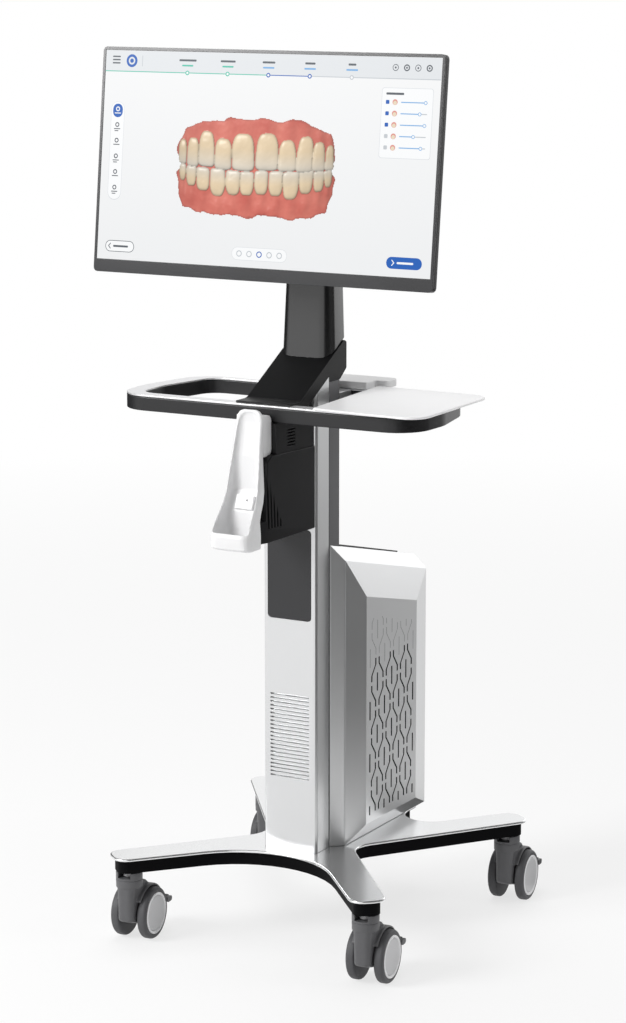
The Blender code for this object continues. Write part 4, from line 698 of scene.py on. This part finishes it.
for place in PLACES:
    at = caster_frame(place)
    painted(frame["nodes"][f"{place}_axle"], "steel")
    fine(f"{place}_pedal", "grey", 0.6)
    stem = turned(f"{place}_stem_nut", rounded(STEM, 3), 36, at @ UPRIGHT)
    stand_in(painted(stem, "cap"), f"{place}_stem")
    for hand, side in (("a", -1.0), ("b", 1.0)):
        stand_in(wheel_part(f"{place}_tyre_{hand}", TYRE, "tyre"), f"{place}_wheel_{hand}")
        stand_in(wheel_part(f"{place}_disc_{hand}", CAP_FACE, "cap"), f"{place}_cap_{hand}")
        beside(wheel_part(f"{place}_disc_rim_{hand}", CAP_RIM, "cap_rim"), f"{place}_cap_{hand}")

# %% [markdown]
# ## Forks and guards
#
# The fork is one soft casting: a barrel between the wheels, a guard over both tyres and a collar round the
# stem. The barrel is a stack of rounded sections and the guard a bent bar. A fine remesh makes them one
# body, and smoothing blends them as a casting's fillets do. The collar stays crisp.

# %% The barrel and the guard as one body
def stem_bore():
    """The stem's bore, as a tool for cutting."""
    return turned("stem_bore", [(84.2, 0.0), (84.2, 6.0), (130.0, 6.0), (130.0, 0.0)], 36, UPRIGHT)


BARREL = [
    (23.5, 18.0, 42.0, 10.0, 5.0), (26.0, 13.0, 48.0, 12.4, 7.0),
    (31.0, -6.0, 53.0, 12.9, 8.5), (34.5, -15.6, 54.0, 13.0, 9.0),
    (38.0, -17.8, 55.0, 13.0, 9.0), (60.0, -18.0, 56.5, 13.0, 9.0),
    (68.0, -18.1, 54.0, 13.0, 9.0), (82.0, -18.4, 37.0, 14.0, 10.0),
    (91.0, -18.6, 22.0, 17.0, 14.0),
]
rings = []
for z, front, back, half, corner in BARREL:
    corners = [(-half, front, corner), (half, front, corner), (half, back, 4.0), (-half, back, 4.0)]
    rings.append([(x, y, z) for x, y in rounded(corners)])
barrel = lofted("fork_barrel", rings)
bar_section = rounded([(-20.0, 40.0, 0.6), (20.0, 40.0, 0.6), (20.0, 43.2, 1.5), (-20.0, 43.2, 1.5)], 2)
rings = []
for step in range(27):
    angle = math.radians(40.0 + 4.0 * step)
    way = Vector((0.0, math.cos(angle), math.sin(angle)))
    rings.append([Vector((x, AXLE_BACK, TYRE_RADIUS)) + way * r for x, r in bar_section])
guard = lofted("fork_guard", rings)
both = bmesh.new()
both.from_mesh(barrel.data)
both.from_mesh(guard.data)
both.to_mesh(barrel.data)
both.free()
bpy.data.objects.remove(guard)
melted(barrel, "fork_barrel", 8)
carved(barrel, stem_bore(), block("pedal_slot", (-6.6, 43.2, 39.0), (6.6, 80.0, 66.4)))
barrel.data.shade_smooth()
print("barrel faces", len(barrel.data.polygons))

# %% The collar, and copies for the four casters
COLLAR = [
    (85.0, 0.0, 0.0), (85.0, 19.3, 0.5), (96.6, 19.5, 0.2),
    (96.9, 18.9, 0.1), (97.6, 18.9, 0.1), (97.9, 19.5, 0.2),
    (108.6, 19.5, 1.1), (108.6, 0.0, 0.0),
]
collar = turned("fork_collar", rounded(COLLAR, 3), 72, UPRIGHT)
seat = turned("flange_seat", [(100.6, 0.0), (100.6, 9.5), (120.0, 9.5), (120.0, 0.0)], 48, UPRIGHT)
carved(collar, stem_bore(), seat, block("notch", (-10.0, -25.0, 100.6), (10.0, 0.0, 120.0)))
smooth_by_angle(collar, 35.0)
for place in PLACES:
    at = caster_frame(place)
    for part, name in ((barrel, "fork_fine"), (collar, "collar_fine")):
        mesh = part.data.copy()
        mesh.transform(at)
        piece = painted(linked(f"{place}_{name}", mesh), "grey")
        if part is barrel:
            stand_in(piece, f"{place}_fork")
        else:
            beside(piece, f"{place}_fork")
print("collar faces", len(collar.data.polygons))
bpy.data.objects.remove(barrel)
bpy.data.objects.remove(collar)

# %% [markdown]
# ## Small repeated pieces
#
# The pedals have grip ribs, the monitor's back has rows of cooling slots, and four screws hold its plate.
# The slots are thin bars that stand 0.2 mm proud, painted near black as painted shade of the openings,
# which read as openings from any distance.

# %% Ribs, slots and screws
MONITOR_LEAN = 6.37
LEAN = Matrix.Rotation(math.radians(-MONITOR_LEAN), 4, "X")
TILT = Matrix.Translation(joints["monitor_tilt"]["pos_m"]) @ LEAN
SHELL_BACK_Y = -52.0
for place in PLACES:
    rib = block(f"{place}_pedal_ribs", (-22.0, 72.3, 49.0), (22.0, 73.5, 49.9))
    repeated(rib, "grey", 5, (0.0, 2.5 * MM, 0.0)).data.transform(caster_frame(place))
    beside(rib, f"{place}_pedal")
# Near-black bars where the cooling slots open: painted shade of the openings.
for name, low in (("upper", 62.0), ("lower", -84.0)):
    near, far = (-115.5, SHELL_BACK_Y - 0.5, low), (-112.5, SHELL_BACK_Y + 0.2, low + 9.0)
    bar = block(f"monitor_slots_{name}", near, far)
    repeated(bar, "inside_shade", 39, (6.0 * MM, 0.0, 0.0), 2, (0.0, 0.0, 13.0 * MM)).data.transform(TILT)
    beside(bar, "monitor_shell")
SCREW = [(-1.0, 0.0), (-1.0, 3.6), (1.0, 3.6), (1.7, 2.9), (1.7, 1.6), (0.6, 1.6), (0.6, 0.0)]
FACING_BACK = Matrix.Rotation(math.radians(90.0), 4, "Z")
corner = Matrix.Translation((-40.0 * MM, -47.7 * MM, -40.0 * MM))
screw = turned("plate_screws", SCREW, 20, corner @ FACING_BACK)
repeated(screw, "steel", 2, (80.0 * MM, 0.0, 0.0), 2, (0.0, 0.0, 80.0 * MM)).data.transform(TILT)
beside(screw, "tilt_plate")
print("bars and screws", len(screw.data.polygons))

# %% [markdown]
# ## Scanner cradle
#
# The cradle is one soft moulding: a trough that leans on the bracket and swells to a scoop. Its solid has
# the right form but crisp edges. A fine remesh and smoothing melt them, as a mould maker's radii would, and
# keep the walls where they are.

# %% Dress the cradle and its bracket
fine("cradle_bracket", "black", 0.5)
fine("cradle_dock", "white", 0.25)
cradle = melted(merged_copy("cradle_shell"), "cradle_shell_fine", 7)
cradle.data.shade_smooth()
stand_in(painted(cradle, "white"), "cradle_shell")
print("cradle faces", len(cradle.data.polygons))

# %% [markdown]
# ## Screen
#
# A screen shines by itself, so its colours go to Emission Color, and its body stays nearly black. The panel
# solid carries a plain pale gradient.


# %% The lit panel
def shining(recipe, colour, roughness):
    """A nearly black body that shines in a colour."""
    return recipe.feed(
        base_color=(0.004, 0.004, 0.004, 1.0),
        emission_color=colour,
        emission_strength=1.0,
        specular_ior_level=0.10,
        roughness=roughness,
    )


def lit_panel():
    recipe = Recipe("screen_ground")
    height = recipe.node("ShaderNodeSeparateXYZ", {}, {0: recipe.place}, "Z")
    heights = {"Value": height, "From Min": 0.98, "From Max": 1.28}
    share = recipe.node("ShaderNodeMapRange", {}, heights)
    return shining(recipe, recipe.blend(share, (0.835, 0.845, 0.855), (0.90, 0.905, 0.91)), 0.35)


finishes["screen"] = lit_panel()
painted(frame["nodes"]["display_panel"], "screen")

# %% [markdown]
# ## What the screen shows
#
# The program's window is drawn as flat shapes on the glass, in pale greys and blues, with no lettering. All
# shapes share one mesh, and each face carries its colour in an attribute, so one material serves them all.


# %% Drawing on the screen
GLASS_Y = -94.6
WINDOW_MIDDLE = 6.75
HALF_WIDE, HALF_HIGH = 265.0, 146.6


def linear(red, green, blue):
    """A display colour from 0 to 255 as the linear colour that a shader takes."""
    return tuple(((channel / 255 + 0.055) / 1.055) ** 2.4 for channel in (red, green, blue))


class Drawing:
    """Flat coloured shapes on the glass, collected into one mesh."""

    def __init__(self, name):
        self.name = name
        self.points = []
        self.faces = []
        self.colours = []

    def shape(self, outline, colour, layer):
        first = len(self.points)
        lift = GLASS_Y - 0.04 * layer
        self.points += [(u * MM, lift * MM, (v + WINDOW_MIDDLE) * MM) for u, v in outline]
        self.faces.append(range(first, len(self.points)))
        self.colours.append(linear(*colour))

    def bar(self, left, right, low, high, radius, colour, layer):
        corners = [(left, low, radius), (right, low, radius), (right, high, radius), (left, high, radius)]
        self.shape(rounded(corners), colour, layer)

    def disc(self, u, v, radius, colour, layer):
        angles = [math.pi * step / 14 for step in range(28)]
        self.shape([(u + radius * math.cos(a), v + radius * math.sin(a)) for a in angles], colour, layer)

    def stroke(self, start, end, width, colour, layer):
        way = (Vector(end) - Vector(start)).normalized() * width / 2
        side = Vector((way.y, -way.x))
        start, end = Vector(start) - way, Vector(end) + way
        self.shape([start + side, end + side, end - side, start - side], colour, layer)

    def finished(self):
        mesh = bpy.data.meshes.new(self.name)
        mesh.from_pydata(self.points, [], self.faces)
        tint = mesh.attributes.new("tint", "FLOAT_COLOR", "CORNER")
        values = [(*colour, 1.0) for face, colour in zip(self.faces, self.colours) for _ in face]
        tint.data.foreach_set("color", np.array(values, np.float32).ravel())
        mesh.transform(TILT)
        return beside(painted(linked(self.name, mesh), "tinted"), "display_panel")


def tinted_light():
    """A shining surface whose colour comes from the mesh."""
    recipe = Recipe("screen_colours")
    tint = recipe.node("ShaderNodeAttribute", {"attribute_name": "tint"}, {}, "Color")
    glow = recipe.noise(900.0, 0.0) * 0.02 + 0.98
    lit = recipe.blend(glow, (0.0, 0.0, 0.0), (1.0, 1.0, 1.0))
    settings = {"data_type": "RGBA", "blend_type": "MULTIPLY"}
    shown = recipe.node("ShaderNodeMix", settings, {"Factor": 1.0, MIX_A: tint, MIX_B: lit}, MIX_RESULT)
    return shining(recipe, shown, 0.25)


finishes["tinted"] = tinted_light()
print("glass", 2 * HALF_WIDE, "x", 2 * HALF_HIGH, "mm")

# %% [markdown]
# ## The window's bars and buttons
#
# A bar at the top carries the program's marks and a line of steps. A strip of tools stands at the left, a
# card of sliders at the right, and buttons lie below. What repeats is a loop over places. A layer number
# lifts each shape 0.04 mm off the one beneath, so that overlapping faces don't share a plane.

# %% The top bar and its steps
PALE, BAR, LINE, INK = (248, 249, 250), (226, 229, 232), (196, 201, 206), (92, 98, 105)
BLUE, SKY, TEAL, SHADE = (36, 97, 184), (122, 176, 226), (86, 196, 172), (214, 218, 222)
view = Drawing("screen_window")
view.bar(-HALF_WIDE, HALF_WIDE, HALF_HIGH - 29, HALF_HIGH, 0, BAR, 1)
for index in range(3):
    view.bar(-254, -241, 128 + 4.5 * index, 130 + 4.5 * index, 0.9, INK, 2)
view.disc(-222, 132.5, 9.0, BLUE, 2)
view.disc(-222, 132.5, 5.4, BAR, 3)
view.disc(-222, 132.5, 3.0, BLUE, 4)
view.bar(-205, -204, 125, 140, 0, LINE, 2)
steps = [-130.0, -65.0, 0.0, 65.0, 130.0]
for index, (left, right) in enumerate(zip([-HALF_WIDE] + steps, steps + [HALF_WIDE])):
    colour = TEAL if index < 3 else BLUE if index == 3 else LINE
    view.bar(left, right, HALF_HIGH - 29.6, HALF_HIGH - 28.4, 0, colour, 2)
for index, u in enumerate(steps):
    view.disc(u, HALF_HIGH - 29, 3.2, TEAL if index < 2 else BLUE if index < 4 else LINE, 3)
    view.disc(u, HALF_HIGH - 29, 1.7, PALE, 4)
    view.bar(u - 14 + 2 * index, u + 14 - 2 * index, 133.5, 136.3, 1.2, INK, 2)
    view.bar(u - 9, u + 9, 126.5, 128.8, 1.0, TEAL if index < 2 else SKY, 2)
for index in range(4):
    u = 196 + 17 * index
    view.disc(u, 132.5, 4.6, INK, 2)
    view.disc(u, 132.5, 2.9 if index % 2 else 3.6, BAR, 3)
    view.disc(u, 132.5, 1.4, INK, 4)

# %% The strip of tools
view.bar(-252.5, -230.5, -63, 75, 10.5, SHADE, 1)
view.bar(-252, -231, -62, 74.5, 10, PALE, 2)
view.bar(-249.5, -233.5, 53, 72, 7.5, BLUE, 3)
for index in range(6):
    v = 62.5 - 22.0 * index
    ink = PALE if index == 0 else INK
    view.disc(-241.5, v + 2.2, 3.4, ink, 4)
    view.disc(-241.5, v + 2.2, 1.9, BLUE if index == 0 else PALE, 5)
    view.stroke((-246.0, v - 3.6), (-237.0, v - 3.6), 1.3, ink, 4)
    if index % 2:
        view.stroke((-245.0, v - 6.4), (-240.0, v - 6.4), 1.3, ink, 4)

# %% The card of sliders
CORAL, CREAM = (224, 150, 140), (232, 218, 192)
view.bar(177.4, 255.0, 11.4, 105.6, 3.6, SHADE, 1)
view.bar(178.0, 254.4, 12.0, 105.0, 3.4, PALE, 2)
view.bar(184, 211, 96.2, 99.2, 1.2, INK, 3)
for index, reach in enumerate((244.0, 236.0, 244.0, 228.0, 240.0)):
    v = 86.5 - 15.2 * index
    view.bar(184, 189.4, v - 2.7, v + 2.7, 1.2, BLUE if index < 3 else LINE, 3)
    view.disc(198, v, 3.9, CORAL, 3)
    view.disc(198, v - 0.9, 2.7, CREAM, 4)
    view.bar(207, 247, v - 0.7, v + 0.7, 0.6, LINE, 3)
    view.bar(207, reach, v - 0.7, v + 0.7, 0.6, SKY, 4)
    view.disc(reach, v, 2.6, SKY, 5)
    view.disc(reach, v, 1.7, PALE, 6)

# %% The buttons below
for left, right, rim, face in ((-252.0, -204.0, INK, PALE), (198.0, 252.0, BLUE, BLUE)):
    view.bar(left, right, -136.0, -120.0, 7.8, rim, 1)
    view.bar(left + 0.9, right - 0.9, -135.1, -120.9, 7.0, face, 2)
    ink = PALE if face == BLUE else INK
    middle = (left + right) / 2
    view.bar(middle - 11, middle + 14, -129.4, -126.6, 1.2, ink, 3)
    way = 1.0 if face == BLUE else -1.0
    tip = middle - 17 + way * 1.6
    view.stroke((tip - way * 3.0, -124.6), (tip, -128.0), 1.3, ink, 3)
    view.stroke((tip, -128.0), (tip - way * 3.0, -131.4), 1.3, ink, 3)
view.bar(-44, 44, -137.0, -119.0, 8.8, SHADE, 1)
view.bar(-43.5, 43.5, -136.5, -119.5, 8.4, PALE, 2)
for index in range(5):
    u = -32 + 16 * index
    view.disc(u, -128, 4.4, BLUE if index == 2 else LINE, 3)
    view.disc(u, -128, 3.0, PALE, 4)
view.finished()
print("window shapes", len(view.faces))

# %% [markdown]
# ## The scanned jaws
#
# The scan is a relief of teeth and gums, made as a field of heights over a fine grid. Each tooth has a flat
# biting edge and narrows to a round end under the gum, and its place along the jaw is worked out by rule.
# Blurred random values make the gum uneven.

# %% Teeth and gums as a field
GRID_STEP = 1.0
HALVES = {"upper": (18.6, 14.4, 13.4, 9.8, 7.0), "lower": (11.4, 12.0, 13.0, 11.2, 8.6, 5.8)}
HEIGHTS = {"upper": (51.0, 43.0, 49.0, 40.0, 34.0), "lower": (33.0, 34.0, 38.0, 32.0, 28.0, 23.0)}
u, v = np.meshgrid(np.arange(-134.0, 134.5, GRID_STEP), np.arange(-80.0, 80.5, GRID_STEP))
generator = np.random.default_rng(11)


def soft_noise(size):
    """Random values blurred to patches of a size in mm, with a spread of one."""
    waves_v = np.fft.fftfreq(u.shape[0], GRID_STEP)[:, None]
    waves_u = np.fft.rfftfreq(u.shape[1], GRID_STEP)
    blur = np.exp(-20.0 * size**2 * (waves_u**2 + waves_v**2))
    patches = np.fft.irfft2(np.fft.rfft2(generator.standard_normal(u.shape)) * blur, s=u.shape)
    return patches / patches.std()


def crown(middle, half, height, up):
    """How far each point of the grid lies inside one tooth: 0 on its outline, 1 on its face."""
    rise = (v - bite) * up / height + generator.uniform(-0.03, 0.05)
    across = u - middle - generator.uniform(-0.10, 0.10) * half * rise
    width = half * (1.02 - 0.17 * np.clip(rise, 0.0, 1.0) ** 1.5) + 0.45 * ripple
    ends = np.where(rise < 0.5, np.abs(2.0 * rise - 1.0) ** 8.0, np.abs(2.0 * rise - 1.0) ** 2.8)
    inside = 1.0 - np.abs(across / width) ** 3.8 - ends
    return np.clip(inside, 0.0, 1.0) ** 0.42, rise


ripple, grain = soft_noise(7.0), soft_noise(1.8)
bite = -6.0 + 6.0 * (u / 120.0) ** 2
tooth = np.zeros_like(u)
along = np.zeros_like(u)
root = np.zeros_like(u)
for row, up in (("lower", -1.0), ("upper", 1.0)):
    start = 0.2
    for half, height in zip(HALVES[row], HEIGHTS[row]):
        for side in (-1.0, 1.0):
            inside, rise = crown(side * (start + half), half, height, up)
            tooth = np.where(inside > 0.0, inside, tooth)
            along = np.where(inside > 0.0, rise, along)
            swell = np.exp(-(((u - side * (start + half)) / (0.62 * half)) ** 2))
            root += swell * np.clip(1.6 - np.abs(rise - 1.1) * 1.9, 0.0, 1.0) * (rise > 0.4)
        start += 1.95 * half
depth = 9.0 - 17.0 * (u / 130.0) ** 2 + 2.3 * root + 0.45 * ripple + 0.07 * grain
depth += np.where(tooth > 0.0, 1.6 + 5.4 * tooth - 2.2 * root, 0.0)
print("points on teeth", int((tooth > 0.0).sum()), "of", tooth.size)

# %% [markdown]
# ## Light and colour of the scan
#
# The scan's light is worked out once, from the slope of the field, because a screen shows a finished
# picture whatever the room's light is: painted shade and painted highlights, with painted shade towards the
# sides. Gums are pink with paler patches and end at an uneven border, with painted shade just inside it.
# Teeth are cream, warmer towards the gum, with painted shade at their outline.

# %% Light and colour of the field
FLESH_DEEP, FLESH_PALE = np.array(linear(196, 92, 80)), np.array(linear(222, 128, 112))
NEAR_GUM, NEAR_EDGE = np.array(linear(224, 202, 168)), np.array(linear(214, 207, 194))
slope_v, slope_u = np.gradient(depth, GRID_STEP)
length = np.sqrt(slope_u**2 + slope_v**2 + 1.0)
shine = np.clip((slope_u * 0.30 - slope_v * 0.45 + 0.84) / length, 0.0, 1.0)
# Painted highlight from the slope of the field.
gloss = np.clip((slope_u * 0.16 - slope_v * 0.34 + 0.93) / length, 0.0, 1.0) ** 70
# Painted shade towards the sides of the scan.
reach = 1.0 - 0.30 * np.abs(u / 134.0) ** 4
gum_top = 66.0 - 22.0 * np.abs(u / 130.0) ** 3 + 1.5 * ripple + 0.5 * grain
gum_foot = -70.0 + 14.0 * np.abs(u / 130.0) ** 3 + 1.5 * ripple + 0.5 * grain
gum_side = 129.0 - 13.0 * np.exp(-(((v - bite) / 9.0) ** 2)) - 0.0046 * v**2 + 1.8 * ripple
border = np.minimum(np.minimum(gum_top - v, v - gum_foot), gum_side - np.abs(u))
flesh = np.clip(0.5 + 0.16 * ripple + 0.05 * grain, 0.0, 1.0)[..., None]
gum = FLESH_DEEP * flesh + FLESH_PALE * (1.0 - flesh)
# Painted shade on the gum just inside its border.
gum = gum * np.clip(0.62 + 0.12 * border, 0.62, 1.0)[..., None]
share = np.clip(1.0 - along * 1.7, 0.0, 1.0)[..., None]
enamel = NEAR_GUM * (1.0 - share) + NEAR_EDGE * share
# Painted shade towards each tooth's outline.
rim = np.clip(0.60 + 0.55 * tooth, 0.60, 1.0)[..., None]
colour = np.where((tooth > 0.0)[..., None], enamel * rim, gum)
colour = colour * (0.50 + 0.62 * shine)[..., None] * reach[..., None] + 0.26 * gloss[..., None]
colour = np.clip(colour, 0.0, 1.0)
keep = (border > 0.0) | (tooth > 0.0)
print("points kept", int(keep.sum()))

# %% [markdown]
# ## The scan as a mesh
#
# The grid's squares become faces wherever all four corners belong to gum or tooth. The field's depth is
# shrunk to a fifth of a millimetre, so that the scan lies almost flat on the glass.

# %% The field as a mesh
JAWS_LEFT, JAWS_DOWN = 14.0, 8.0
rows, columns = u.shape
number = np.arange(rows * columns).reshape(rows, columns)
corners = [number[:-1, :-1], number[:-1, 1:], number[1:, 1:], number[1:, :-1]]
whole = keep[:-1, :-1] & keep[:-1, 1:] & keep[1:, 1:] & keep[1:, :-1]
faces = np.stack([corner[whole] for corner in corners], axis=1)
lift = GLASS_Y - 0.05 - 0.01 * np.clip(depth, 0.0, 20.0)
heights = v - JAWS_DOWN + WINDOW_MIDDLE
points = np.stack([(u - JAWS_LEFT) * MM, lift * MM, heights * MM], axis=-1).reshape(-1, 3)
jaw_mesh = bpy.data.meshes.new("scanned_jaws")
jaw_mesh.from_pydata(points.tolist(), [], faces.tolist())
tint = jaw_mesh.attributes.new("tint", "FLOAT_COLOR", "POINT")
values = np.concatenate([colour.reshape(-1, 3), np.ones((rows * columns, 1))], axis=1)
tint.data.foreach_set("color", values.astype(np.float32).ravel())
cleaner = bmesh.new()
cleaner.from_mesh(jaw_mesh)
bmesh.ops.delete(cleaner, geom=[point for point in cleaner.verts if not point.link_faces], context="VERTS")
cleaner.to_mesh(jaw_mesh)
cleaner.free()
jaw_mesh.transform(TILT)
beside(painted(linked("scanned_jaws", jaw_mesh), "tinted"), "display_panel")
print("jaws", len(jaw_mesh.polygons), "faces")

# %% [markdown]
# ## Floor and surroundings
#
# The cart stands on a plain white sweep. The floor keeps a soft shadow near the cart, so that the wheels
# touch it, and turns into even white further off. The camera and reflections see full white round the cart,
# while the light that falls on it from there is weaker, so that the lamps can shape it.


# %% Floor
def quad(name, corners):
    mesh = bpy.data.meshes.new(name)
    mesh.from_pydata(corners, [], [(0, 1, 2, 3)])
    piece = linked(name, mesh)
    return piece


floor = quad("floor", [(-90, -90, 0), (90, -90, 0), (90, 90, 0), (-90, 90, 0)])
sweep = Recipe("white_sweep")
rays = sweep.node("ShaderNodeLightPath", {}, {}, "Is Camera Ray")
mirror_rays = sweep.node("ShaderNodeLightPath", {}, {}, "Is Glossy Ray")
seen = rays.math("MAXIMUM", rays, mirror_rays)
distance = sweep.node("ShaderNodeVectorMath", {"operation": "LENGTH"}, {0: sweep.place}, "Value")
fade = {"Value": distance, "From Min": 0.8, "From Max": 4.0, "To Min": 0.72, "To Max": 1.0}
far = sweep.node("ShaderNodeMapRange", {}, fade)
glow = sweep.node("ShaderNodeEmission", {}, {"Color": (1.0, 1.0, 1.0, 1.0), "Strength": 1.0})
sweep.feed(base_color=(0.9, 0.9, 0.9, 1.0), roughness=0.9, specular_ior_level=0.0)
body_shader = Wire(sweep, sweep.shader.outputs[0])
surface = sweep.node("ShaderNodeMixShader", {}, {0: seen * far, 1: body_shader, 2: glow})
output = sweep.tree.nodes["Material Output"]
sweep.tree.links.new(surface.socket, output.inputs["Surface"])
floor.data.materials.append(sweep.material)
print("floor", tuple(floor.dimensions))

# %% The world's light
WORLD_LIGHT, WORLD_SEEN = 0.34, 1.0
world = bpy.data.worlds.new("studio")
bpy.context.scene.world = world
world.use_nodes = True
air = world.node_tree
path = air.nodes.new("ShaderNodeLightPath")
seen_air = path.outputs["Is Camera Ray"]
for kind in ("Is Glossy Ray", "Is Transmission Ray"):
    either = air.nodes.new("ShaderNodeMath")
    either.operation = "MAXIMUM"
    air.links.new(seen_air, either.inputs[0])
    air.links.new(path.outputs[kind], either.inputs[1])
    seen_air = either.outputs[0]
level = air.nodes.new("ShaderNodeMapRange")
level.inputs["To Min"].default_value = WORLD_LIGHT
level.inputs["To Max"].default_value = WORLD_SEEN
air.links.new(seen_air, level.inputs["Value"])
air.nodes["Background"].inputs["Color"].default_value = (1.0, 1.0, 1.0, 1.0)
air.links.new(level.outputs[0], air.nodes["Background"].inputs["Strength"])
print("world", WORLD_LIGHT, "to", WORLD_SEEN)

# %% [markdown]
# ## Lamps
#
# One large lamp at the left front is the key, a weaker one fills the right side, and a third lights the
# tops from above. Their size gives every shadow soft edges.


# %% Three lamps
def lamp(name, location, target, size, power):
    data = bpy.data.lights.new(name, "AREA")
    data.shape = "DISK"
    data.size = size
    data.energy = power
    light = bpy.data.objects.new(name, data)
    light.location = location
    light.rotation_euler = (Vector(target) - Vector(location)).to_track_quat("-Z", "Y").to_euler()
    bpy.context.scene.collection.objects.link(light)


lamp("key", (-2.2, -3.2, 2.6), (0.0, 0.0, 0.7), 2.0, 150.0)
lamp("fill", (2.8, 0.6, 1.6), (0.0, 0.0, 0.6), 1.6, 16.0)
lamp("top", (-0.6, 0.6, 3.4), (0.0, 0.0, 0.6), 2.0, 30.0)
print("lamps", len(bpy.data.lights))

# %% [markdown]
# ## Cards for the reflections
#
# Cards that only reflections see stand round the cart, as in a studio. The dark ones put the deep tones
# into glossy paint without dimming it, and a bright one behind lights the faces that slope upwards.


# %% Dark and bright cards
def flag(name, corners, level):
    """A card that only reflections see, at one even level of light."""
    card = quad(name, corners)
    recipe = Recipe(name)
    recipe.feed(base_color=(0.0, 0.0, 0.0, 1.0), specular_ior_level=0.0, roughness=1.0)
    recipe.feed(emission_color=(1.0, 1.0, 1.0, 1.0), emission_strength=level)
    card.data.materials.append(recipe.material)
    card.visible_camera = False
    card.visible_diffuse = False
    card.visible_shadow = False
    card.visible_transmission = False


def upright(name, x, y_near, y_far, low, high, level):
    """A card that stands across the X axis."""
    flag(name, [(x, y_near, low), (x, y_far, low), (x, y_far, high), (x, y_near, high)], level)


RIGHT, LEFT = 0.85, -1.2
upright("flag_right", RIGHT, -0.20, 0.95, 0.0, 1.7, 0.06)
upright("flag_front_right", RIGHT, -1.60, -0.20, 0.50, 1.9, 0.05)
upright("flag_low_right", RIGHT, -1.60, -0.20, 0.0, 0.50, 0.16)
upright("flag_left", LEFT, 0.10, 1.10, 0.0, 2.2, 0.05)
upright("flag_low_left", LEFT, -0.55, 0.10, 0.40, 1.00, 0.05)
flag("flag_floor", [(0.30, 0.30, 0.003), (3.0, 0.30, 0.003), (3.0, 4.0, 0.003), (1.0, 4.0, 0.003)], 0.42)
low_card = [(-0.10, 0.28, 0.002), (0.28, 0.28, 0.002), (0.34, 0.60, 0.002), (-0.10, 0.60, 0.002)]
flag("flag_behind", low_card, 0.10)
flag("card_back", [(-0.9, 4.6, 0.3), (4.5, 4.6, 0.3), (4.5, 4.6, 3.2), (-0.9, 4.6, 3.2)], 1.60)
flag("flag_above", [(-2.5, -1.5, 2.6), (1.5, -1.5, 2.6), (1.5, 2.5, 2.6), (-2.5, 2.5, 2.6)], 0.03)
